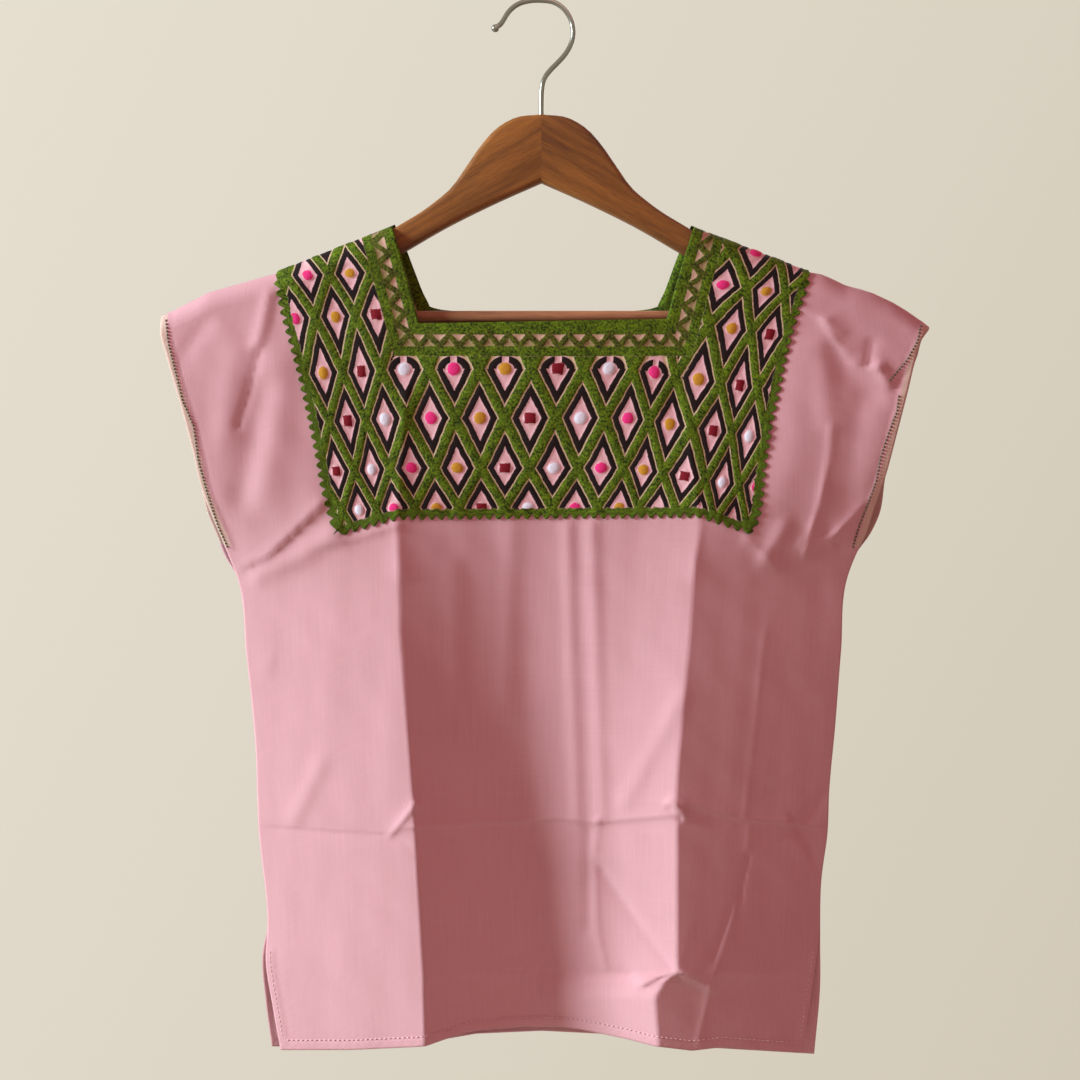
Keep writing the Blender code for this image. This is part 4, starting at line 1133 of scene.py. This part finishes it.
@dataclass
class Yoke:
    """The embroidered yoke on one panel, with its raised bands, outlines and knots."""

    name: str
    node: str
    drape: Drape
    neck_drop: float
    neck_top: tuple[float, float]
    neck_bottom: tuple[float, float]
    left: Points
    right: Points
    rows: tuple[Row, ...]
    columns: tuple[int, int, int]
    corner: float = 0.0
    tooth_pitch: float = 6.4
    tooth: float = 4.2
    tooth_reach: float = 4.5
    tooth_corner: float = 0.6
    tooth_start: float = 6.0
    lift: float = 0.45
    cloth_mm: float = 0.4
    flat: tuple[float, float] = (0.37, 0.22)
    area: float = 0.055

    def shell(self) -> Shell:
        """Returns the yoke's grid, on its own side edges and the panel's inner lines."""
        lines = (self.left, self.drape.lines[1], self.drape.lines[2], self.right)
        return Shell(self.drape, lines, self.rows, self.columns, edge_steps=4, edge_step=0.5,
                     corner=self.corner)

    def lean(self) -> float:
        """Returns how far the neckline's left side leans in for each mm down."""
        return (self.neck_bottom[0] - self.neck_top[0]) / (self.neck_drop - NECK_TOP)

    def border(self, x: Array, drop: Array) -> Array:
        """Returns distance outside the neckline, distance along it, and distance inside the outer edge."""
        lean = self.lean()
        square = math.hypot(1, lean)
        fall = drop - NECK_TOP
        left = (self.neck_top[0] + lean * fall - x) / square
        right = (x - self.neck_top[1] + lean * fall) / square
        below = drop - self.neck_drop
        sides = np.maximum(left, right)
        beside = np.maximum(sides, below)
        width = self.neck_bottom[1] - self.neck_bottom[0]
        far = np.where((below > 0) & (sides > MOTIF.border_out), 100, 0)
        climb = np.where(left > right, -below - far, width + below + far)
        along = np.where(below > sides, x - self.neck_bottom[0], climb)
        rim = np.minimum(x - straight_line(self.left, drop), straight_line(self.right, drop) - x)
        rim = np.minimum(rim, self.bottom(x) - drop)
        return np.stack((beside, along, rim), axis=-1)

    def bottom(self, x: Array) -> Array:
        """Returns the drop of the yoke's lower edge, before its teeth, at x."""
        last = self.rows[-1].drops
        xs = [straight_line(line, np.array(d)) for line, d in zip(self.shell().lines, last)]
        return np.interp(x, xs, last)

    def lattice(self, x: Array, drop: Array) -> Array:
        """Returns the two lattice numbers of each place, and its row number."""
        left = LATTICE_LEFT[0] + (drop - LATTICE_TOP) * LATTICE_LEFT[1]
        right = LATTICE_RIGHT[0] + (drop - LATTICE_TOP) * LATTICE_RIGHT[1]
        share = (x - left) / (right - left)
        shift = smooth_line(LEFT_SHIFT, drop) * (1 - share) + smooth_line(RIGHT_SHIFT, drop) * share
        column = smooth_line(COLUMN_SHARE, share - shift / (right - left))
        tilt = (ROW_TILT_RIGHT[1] * np.maximum(x - ROW_TILT_RIGHT[0], 0)
                + ROW_TILT_LEFT[1] * np.maximum(-x - ROW_TILT_LEFT[0], 0))
        row = smooth_line(ROW_DROP, drop - tilt)
        return np.stack((column + row / 2, column - row / 2, row), axis=-1)

    def relief(self, x: Array, drop: Array) -> Array:
        """Returns the height of the thread: rounded bands and outlines, domed knots."""
        lattice, border = self.lattice(x, drop), self.border(x, drop)
        parts = MOTIF.layers(ArrayMaths, [lattice[..., 0], lattice[..., 1]], list(np.moveaxis(border, -1, 0)),
                             self.neck_bottom[1] - self.neck_bottom[0], 1.1)
        half = MOTIF.cell / 2
        across = np.clip((half - parts["reach"]) / MOTIF.band, -1, 1)
        base, dome, strand = MOTIF.band_height
        rounded = base + dome * np.sqrt(1 - across**2) + strand * np.cos(2 * math.pi * across * 1.5)
        base, rib, pitch = MOTIF.rib_height
        ribs = base + rib * np.cos(2 * math.pi * border[..., 0] / pitch)
        green = np.where(parts["in_border"] > 0.5, ribs, rounded)
        base, dome = MOTIF.knot_height
        knot = base + dome * np.sqrt(np.clip(1 - (parts["radius"] / MOTIF.knot) ** 2, 0, 1))
        return (parts["green"] * green + parts["black"] * MOTIF.black_height
                + parts["field"] * MOTIF.field_height + parts["knot"] * knot)

    def toothed(self, x: Array, drop: Array) -> tuple[Array, Array]:
        """Pulls the outer rows and columns out into teeth.

        Args:
            x: Place across of each row and column.
            drop: Place down of each row and column.

        Returns:
            The new x and drop.
        """
        def wave(run: Array) -> Array:
            """Returns 0 between teeth and 1 at their rounded tips."""
            turn = run / self.tooth_pitch
            return np.sin(math.pi / 2 * (1 - np.abs(2 * (turn - np.floor(turn)) - 1)))

        reach = self.tooth_reach
        x, drop = x.copy(), drop.copy()
        rim = self.border(x, drop)[..., 2]
        share = np.clip(1 - rim / reach, 0, 1)
        near_left = x - straight_line(self.left, drop) < reach
        near_right = straight_line(self.right, drop) - x < reach
        low = self.bottom(x) - drop < reach
        side = np.where(near_left, -1.0, 0.0) + np.where(near_right, 1.0, 0.0)
        below_fold = np.clip((drop - shoulder_drop(x)) / self.tooth_start, 0, 1)
        off_corner = np.where(low & (rim > self.tooth_corner * reach), 0, 1)
        shift = self.tooth * share * wave(drop) * side * off_corner * below_fold
        sink = self.tooth * np.clip(1 - (self.bottom(x) - drop) / reach, 0, 1) * wave(x)
        return x + shift, drop + sink

    def finish(self) -> Embroidery:
        """Returns the yoke's thread."""
        return Embroidery(self.neck_bottom[1] - self.neck_bottom[0], f"{self.node} thread")

    def build(self) -> bpy.types.Object:
        """Builds the yoke's piece, which stands for its node."""
        shell = self.shell()
        x, drop, zone = shell.lay_out()
        tooth_x, tooth_drop = self.toothed(x, drop)
        relief = self.relief(x, drop)
        mesh, grid = shell.mesh(lambda a, b: relief, self.lift, tooth_x, tooth_drop, zone)
        row, column = grid[:, 0], grid[:, 1]
        keep_attribute(mesh, "lattice", self.lattice(tooth_x, tooth_drop)[row, column])
        keep_attribute(mesh, "border", self.border(x, drop)[row, column])
        piece = new_piece(self.name, mesh, self.finish().material(), "embroidery")
        add_wall(piece, self.cloth_mm)
        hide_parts(self.node)
        return piece


FRONT_CLOTH = PanelCloth(
    "front_cloth", "front_panel", FRONT,
    (Row((236, 215, 212, 241), 22), Row((283, 280, 280, 283), 20), Row((343, 346, 348, 343), 20),
     Row((383, 380, 377, 375), 15), Row((438, 434, 434, 435), 17), Row((535, 535, 522, 535), 28),
     Row((568, 568, 560, 569), 26), Row((639, 639, 639, 629), 32), Row((665, 665, 665, 662), 18),
     Row((694, 692, 693, 694), 11), Row((703, 701, 703, 703), 7)),
    (50, 76, 54))
BACK_CLOTH = PanelCloth(
    "back_cloth", "back_panel", BACK,
    (Row((232, 207, 207, 236), 22), Row((283, 280, 280, 283), 22), Row((343, 346, 348, 343), 20),
     Row((383, 380, 377, 375), 12), Row((438, 434, 434, 435), 16), Row((553, 553, 545, 554), 34),
     Row((639, 639, 639, 629), 26), Row((697, 697, 697, 697), 18), Row((706, 706, 706, 706), 7)),
    (42, 60, 42), corner=3.4)
FRONT_YOKE = Yoke(
    "front_embroidery", "yoke_front", FRONT, 215, (-100, 102), (-82, 84),
    ((179, -177), (209, -171), (238, -163), (271, -155), (305, -148), (332, -143), (358, -135)),
    ((179, 179), (205, 171), (231, 163), (258, 157), (287, 151), (314, 147), (340, 144), (357, 139)),
    (Row((232, 215, 212, 234), 46), Row((282, 280, 280, 283), 56), Row((354, 343, 341.5, 353), 62)),
    (50, 150, 50))
BACK_YOKE = Yoke(
    "back_embroidery", "yoke_back", BACK, 207, (-98, 100), (-75, 78),
    ((179, -177), (209, -171), (238, -163), (271, -155), (300, -150)),
    ((179, 179), (205, 171), (231, 163), (258, 157), (287, 152), (300, 152)),
    (Row((226, 207, 207, 228), 42), Row((300, 300, 300, 300), 82)), (50, 150, 50), corner=3.4,
    flat=(0.37, 0.17), area=0.044)


@dataclass
class Stitches:
    """A run of separate stitches laid on a panel."""

    drape: Drape
    length: float
    pitch: float
    thick: float
    slant: float = 0.0
    lift: float = 0.25
    look_ahead: float = 0.5

    def add(self, bm: bmesh.types.BMesh, line: Array) -> None:
        """Adds the stitches along a line of (x, drop) points to a mesh."""
        steps = np.linalg.norm(np.diff(line, axis=0), axis=1)
        reach = np.concatenate(([0], np.cumsum(steps)))
        stops = np.arange(self.pitch, reach[-1] - self.pitch / 2, self.pitch)
        x, drop = np.interp(stops, reach, line[:, 0]), np.interp(stops, reach, line[:, 1])
        ahead_x = np.interp(stops + self.look_ahead, reach, line[:, 0])
        ahead_drop = np.interp(stops + self.look_ahead, reach, line[:, 1])
        normals = self.drape.outward(x, drop)
        places = self.drape.place(x, drop) + normals * self.lift
        ahead = self.drape.place(ahead_x, ahead_drop)
        for number, (place, normal, front) in enumerate(zip(places, normals, ahead)):
            up = Vector(normal)
            along = (Vector(front) - Vector(place)).normalized()
            along = (along - up * along.dot(up)).normalized()
            turn = self.slant if number % 2 else -self.slant
            along = Matrix.Rotation(turn, 3, up) @ along
            across = up.cross(along)
            shape = Matrix((along * (self.length / 2), across * (self.thick / 2), up * (self.thick / 2)))
            at = shape.transposed().to_4x4()
            at.translation = Vector(place)
            bmesh.ops.create_icosphere(bm, subdivisions=1, radius=1.0,
                                       matrix=Matrix.Scale(MM, 4) @ at)


def hem_lines(cloth: PanelCloth) -> list[Array]:
    """Returns the stitched lines along the bottom hem and up both slits of a panel."""
    drape = cloth.drape
    down = np.linspace(SLIT_TOP - 2, SLIT_STITCH_END, 40)
    left = np.stack((drape.line(0, down) + SLIT_HEM, down), axis=-1)
    right = np.stack((drape.line(3, down) - SLIT_HEM, down), axis=-1)
    across = np.linspace(left[-1, 0], right[-1, 0], 160)
    bottom = np.stack((across, straight_line(drape.hem, across) - HEM_WIDTH), axis=-1)
    return [left, bottom, right]


# The front sleeves' stitches as seen, x and drop: at the right, above and below the folded cap.
CAP_STITCHES: Points = ((254.8, 214.5), (252.3, 226.8), (245, 240), (233, 254))
LEFT_STITCHES: Points = ((-252, 211), (-250.3, 228.5), (-240.8, 267), (-233.4, 284), (-230, 308),
                         (-224.2, 329), (-216.5, 352), (-210, 366))
LOW_STITCHES: Points = ((240, 261.7), (238.5, 273.8), (233, 288), (227.5, 305), (224.5, 321),
                        (218, 338), (212.3, 353), (208.5, 366))


def sleeve_lines(cloth: PanelCloth) -> list[Array]:
    """Returns the stitched lines along both sleeves of a panel."""
    drape = cloth.drape
    if drape.side < 0:
        return [np.array(line) for line in (LEFT_STITCHES, CAP_STITCHES, LOW_STITCHES)]
    down = np.linspace(SLEEVE_TOP, SLEEVE_END - 2, 80)
    return [np.stack((drape.line(0, down) + SLEEVE_HEM, down), axis=-1),
            np.stack((drape.line(3, down) - SLEEVE_HEM, down), axis=-1)]


def build_stitches(name: str, lines: list[Array], run: Stitches, finish: bpy.types.Material
                   ) -> bpy.types.Object:
    """Builds the stitches on several lines as one piece.

    Args:
        name: The piece's name.
        lines: Lines of (x, drop) points.
        run: Size and place of each stitch.
        finish: The thread's material.

    Returns:
        The piece.
    """
    bm = bmesh.new()
    for line in lines:
        run.add(bm, line)
    return new_piece(name, bm, finish, "cotton")


@dataclass
class Hanger:
    """Two wooden arms joined in the middle, and the bar between them."""

    top: Points = (
        (75.2, 0), (78.2, 19.5), (87.2, 33), (96.6, 41), (110.7, 50.7), (123.5, 59.7), (132.7, 70),
        (140.8, 81), (146.6, 90.5), (151.4, 98.5), (155.2, 104.5), (169, 138), (184.4, 177),
        (199.8, 203), (204, 214))
    under: Points = (
        (120.8, 0), (134.2, 30.2), (151.6, 65.1), (168.4, 93.9), (188.6, 128.8), (206, 161.7),
        (218, 190), (225, 213))
    top_points: int = 46
    under_points: int = 40
    end_x: float = 221.0
    end_drops: tuple[float, float] = (211.0, 219.0)
    thick: float = 12.0
    rounding: float = 3.5
    bar_diameter: float = 8.0
    bar_drop: float = 210.5
    bar_reach: float = 190.0
    bar_rounding: float = 0.6
    seam_half: float = 0.1
    grain_turn: float = 0.52

    def outline(self) -> list[tuple[float, float]]:
        """Returns one arm's outline as (x, drop), smooth between the measured points."""
        upper = self.smooth(self.top, self.top_points)
        lower = self.smooth(self.under, self.under_points)
        end = [(self.end_x, drop) for drop in self.end_drops]
        return upper + end + lower[::-1]

    @staticmethod
    def smooth(points: Points, count: int) -> list[tuple[float, float]]:
        """Reads a curve through (drop, x) pairs at even steps across."""
        swapped = tuple((x, drop) for drop, x in points)
        xs = np.linspace(swapped[0][0], swapped[-1][0], count)
        return [(float(x), float(d)) for x, d in zip(xs, smooth_line(swapped, xs))]

    def build_arm(self, name: str, node: str, side: int) -> bpy.types.Object:
        """Builds one arm: its outline pushed through the thickness, rims rounded."""
        bm = bmesh.new()
        half = self.thick / 2
        front = [bm.verts.new((side * x * MM, -half * MM, -drop * MM)) for x, drop in self.outline()]
        pushed = bmesh.ops.extrude_face_region(bm, geom=[bm.faces.new(front)])["geom"]
        bmesh.ops.translate(bm, vec=(0, self.thick * MM, 0),
                            verts=[g for g in pushed if isinstance(g, bmesh.types.BMVert)])
        bmesh.ops.recalc_face_normals(bm, faces=bm.faces[:])
        rims = [e for e in bm.edges if e.verts[0].co.y == e.verts[1].co.y
                and not all(abs(v.co.x) < self.seam_half * MM for v in e.verts)]
        bmesh.ops.bevel(bm, geom=rims, offset=self.rounding * MM, segments=5, profile=0.5,
                        affect="EDGES", clamp_overlap=True, material=-1)
        finish = Walnut(f"walnut {node}", side * -self.grain_turn).material()
        arm = new_piece(name, bm, finish, "wood")
        arm.data.set_sharp_from_angle(angle=SMOOTH_ANGLE)
        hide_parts(node)
        return arm

    def build_bar(self) -> bpy.types.Object:
        """Builds the round bar that lies behind the neckline."""
        bm = bmesh.new()
        bmesh.ops.create_cone(bm, cap_ends=True, segments=32, radius1=self.bar_diameter / 2 * MM,
                              radius2=self.bar_diameter / 2 * MM, depth=2 * self.bar_reach * MM)
        caps = [e for e in bm.edges if abs(e.verts[0].co.z - e.verts[1].co.z) < 1e-6]
        bmesh.ops.bevel(bm, geom=caps, offset=self.bar_rounding * MM, segments=2, profile=0.5,
                        affect="EDGES", material=-1)
        bmesh.ops.rotate(bm, cent=(0, 0, 0), matrix=Matrix.Rotation(math.pi / 2, 3, "Y"), verts=bm.verts[:])
        bmesh.ops.translate(bm, vec=(0, 0, -self.bar_drop * MM), verts=bm.verts[:])
        # The bar's walnut is lighter than the arms': partly its own paler tone, partly painted light that
        # lifts the shade the neckline casts on it.
        finish = Walnut("walnut bar with painted light", 0.0, Linear.of(206, 138, 98), Linear.of(132, 80, 52)).material()
        bar = new_piece("trouser_bar", bm, finish, "wood")
        bar.data.set_sharp_from_angle(angle=SMOOTH_ANGLE)
        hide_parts("hanger_bar")
        return bar


@dataclass
class Hook:
    """The bent wire, thick at its ball tip, down into the wood."""

    route: Points = (
        (-33.2, -18.4), (-30.1, -16.3), (-27, -13.6), (-24.9, -10.4), (-22.3, -6.3), (-18.6, -2.6),
        (-14, 0), (-9.1, 1.3), (0, 1.8), (8.8, 0.3), (13.8, -2.8), (17.8, -7.4), (20.4, -13),
        (21.3, -18.5), (20.9, -24), (18.9, -29.6), (15.5, -34.9), (11, -39.9), (6.1, -44.9),
        (2.8, -49.2), (1.1, -53.3), (0.3, -58.5), (0, -65.1), (0, -84.0))
    wire: float = 3.5
    ball: float = 2.7
    stops: int = 150
    tip: tuple[float, ...] = (0.0, 0.15, 0.5, 1.0, 1.7, 2.5, 3.3, 4.0, 4.6, 5.1)
    tip_end: float = 5.6
    least_radius: float = 0.15

    def build(self, finish: bpy.types.Material) -> bpy.types.Object:
        """Builds the wire as a tube along its route."""
        lengths = [math.dist(a, b) for a, b in zip(self.route, self.route[1:])]
        reach = np.concatenate(([0], np.cumsum(lengths)))
        stops = np.concatenate((self.tip, np.linspace(self.tip_end, reach[-1], self.stops)))
        xs = smooth_line(tuple(zip(reach, (p[0] for p in self.route))), stops)
        zs = smooth_line(tuple(zip(reach, (p[1] for p in self.route))), stops)
        curve = bpy.data.curves.new("hook wire", "CURVE")
        curve.dimensions = "3D"
        curve.bevel_depth = self.wire / 2 * MM
        curve.bevel_resolution = 6
        curve.use_fill_caps = True
        line = curve.splines.new("POLY")
        line.points.add(len(stops) - 1)
        for point, x, z, stop in zip(line.points, xs, zs, stops):
            point.co = (x * MM, 0, z * MM, 1)
            ball = math.sqrt(max(self.ball**2 - (stop - self.ball) ** 2, 0))
            neck = self.wire / 2 if stop > self.ball else 0.0
            point.radius = max(ball, neck, self.least_radius) / (self.wire / 2)
        holder = bpy.data.objects.new("hook wire", curve)
        mesh = bpy.data.meshes.new_from_object(holder)
        bpy.data.objects.remove(holder)
        wire = new_piece("hook_wire", mesh, finish, "steel")
        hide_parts("hook")
        return wire


@dataclass(frozen=True)
class SoftLight:
    """A square soft light: degrees left of the camera and up, metres away and across, watts, colour."""

    name: str
    azimuth: float
    elevation: float
    distance: float
    size: float
    power: float
    colour: tuple[float, float, float]


@dataclass
class Studio:
    """Pale floor, soft light from the left, beige surroundings, and the camera."""

    middle: tuple[float, float, float] = (0.0, 0.0, -0.38)
    floor_drop: float = 1.25
    floor_radius: float = 2.0
    frame_width: float = 0.7247
    sensor: float = 36.0
    # The backdrop colours: lighter at the left and top, darker to the right and low, as painted light and
    # shade.
    wall_in_light: tuple[float, float, float] = Linear.of(232, 225, 211)
    wall_in_shade: tuple[float, float, float] = Linear.of(210, 201, 184)
    wall_shade: tuple[float, float, float] = (1.2, 0.6, 0.55)
    bounce: tuple[float, float, float] = (0.222, 0.093, 0.091)
    lights: tuple[SoftLight, ...] = (
        SoftLight("key light", 74, 18, 3.2, 0.9, 184, (0.72, 0.965, 1.0)),
        SoftLight("fill light", -20, 48, 3.0, 1.8, 17, (1.0, 0.56, 0.53)),
        SoftLight("rear light", 205, 25, 2.6, 1.6, 20, (1.0, 0.98, 0.95)))

    def build_floor(self) -> bpy.types.Object:
        """Builds the floor, a disc well below the blouse."""
        bm = bmesh.new()
        bmesh.ops.create_circle(bm, cap_ends=True, segments=96, radius=self.floor_radius)
        bmesh.ops.translate(bm, vec=(0, 0, -self.floor_drop), verts=bm.verts[:])
        floor = new_piece("floor", bm, PaleFloor().material(), None, smooth=False)
        return floor

    def add_light(self, soft: SoftLight) -> None:
        """Adds a light that faces the blouse."""
        light = bpy.data.lights.new(soft.name, "AREA")
        light.shape = "SQUARE"
        light.size = soft.size
        light.energy = soft.power
        light.color = soft.colour
        lamp = bpy.data.objects.new(soft.name, light)
        turn, rise = math.radians(soft.azimuth), math.radians(soft.elevation)
        away = Vector((-math.sin(turn) * math.cos(rise), -math.cos(turn) * math.cos(rise), math.sin(rise)))
        lamp.location = Vector(self.middle) + away * soft.distance
        lamp.rotation_euler = away.to_track_quat("Z", "Y").to_euler()
        bpy.context.scene.collection.objects.link(lamp)

    def light(self) -> None:
        """Adds the lights and the surroundings."""
        for soft in self.lights:
            self.add_light(soft)
        g = Graph(bpy.data.worlds.new("surroundings"))
        rays = g.node("ShaderNodeLightPath").outputs
        across, _, up = g.parts(g.node("ShaderNodeTexCoord").outputs["Generated"])
        rightwards, upwards, middle = self.wall_shade
        # Painted shade on the backdrop: darker towards the right and the bottom.
        wall = g.mix(across * rightwards - up * upwards + middle, self.wall_in_light, self.wall_in_shade)
        seen = g.larger(rays["Is Camera Ray"], rays["Is Glossy Ray"])
        g.set_shader(Color=g.mix(seen, self.bounce, wall))
        bpy.context.scene.world = g.owner
        bpy.context.scene.view_settings.view_transform = "Standard"

    def place_camera(self) -> bpy.types.Object:
        """Places the camera level with the blouse's middle, straight in front."""
        lens = bpy.data.cameras.new("camera")
        distance = VIEW_DISTANCE * MM
        lens.sensor_width = self.sensor
        lens.lens = self.sensor * distance / self.frame_width
        camera = bpy.data.objects.new("camera", lens)
        camera.location = (VIEW_X * MM, -distance, -VIEW_DROP * MM)
        camera.rotation_euler = (math.pi / 2, 0, 0)
        bpy.context.scene.collection.objects.link(camera)
        bpy.context.scene.camera = camera
        return camera


def main() -> None:
    """Builds the blouse, its hanger and the studio, and reports each piece."""
    logging.basicConfig(level=logging.INFO, format="%(message)s")
    studio = Studio()
    studio.place_camera()
    studio.light()
    studio.build_floor()
    pink_thread = Thread("pink thread", Linear.of(240, 196, 200)).material()
    green_thread = Thread("olive thread", Linear.of(74, 76, 34)).material()
    pieces = []
    for cloth, yoke in ((FRONT_CLOTH, FRONT_YOKE), (BACK_CLOTH, BACK_YOKE)):
        panel = cloth.build(yoke)
        embroidery = yoke.build()
        hems = build_stitches(f"{cloth.node}_hem_stitches", hem_lines(cloth),
                              Stitches(cloth.drape, 2.1, 3.1, 0.75, lift=0.45), pink_thread)
        sleeves = build_stitches(f"{cloth.node}_sleeve_stitches", sleeve_lines(cloth),
                                 Stitches(cloth.drape, 1.9, 2.35, 1.45, slant=0.5, lift=0.5), green_thread)
        pieces += [panel, embroidery, hems, sleeves]
    hanger = Hanger()
    pieces += [hanger.build_arm("left_arm", "hanger_arm_left", -1),
               hanger.build_arm("right_arm", "hanger_arm_right", 1), hanger.build_bar()]
    pieces.append(Hook().build(Steel().material()))
    for piece in pieces:
        log.info("%s: %d faces", piece.name, len(piece.data.polygons))


if __name__ == "__main__":
    main()
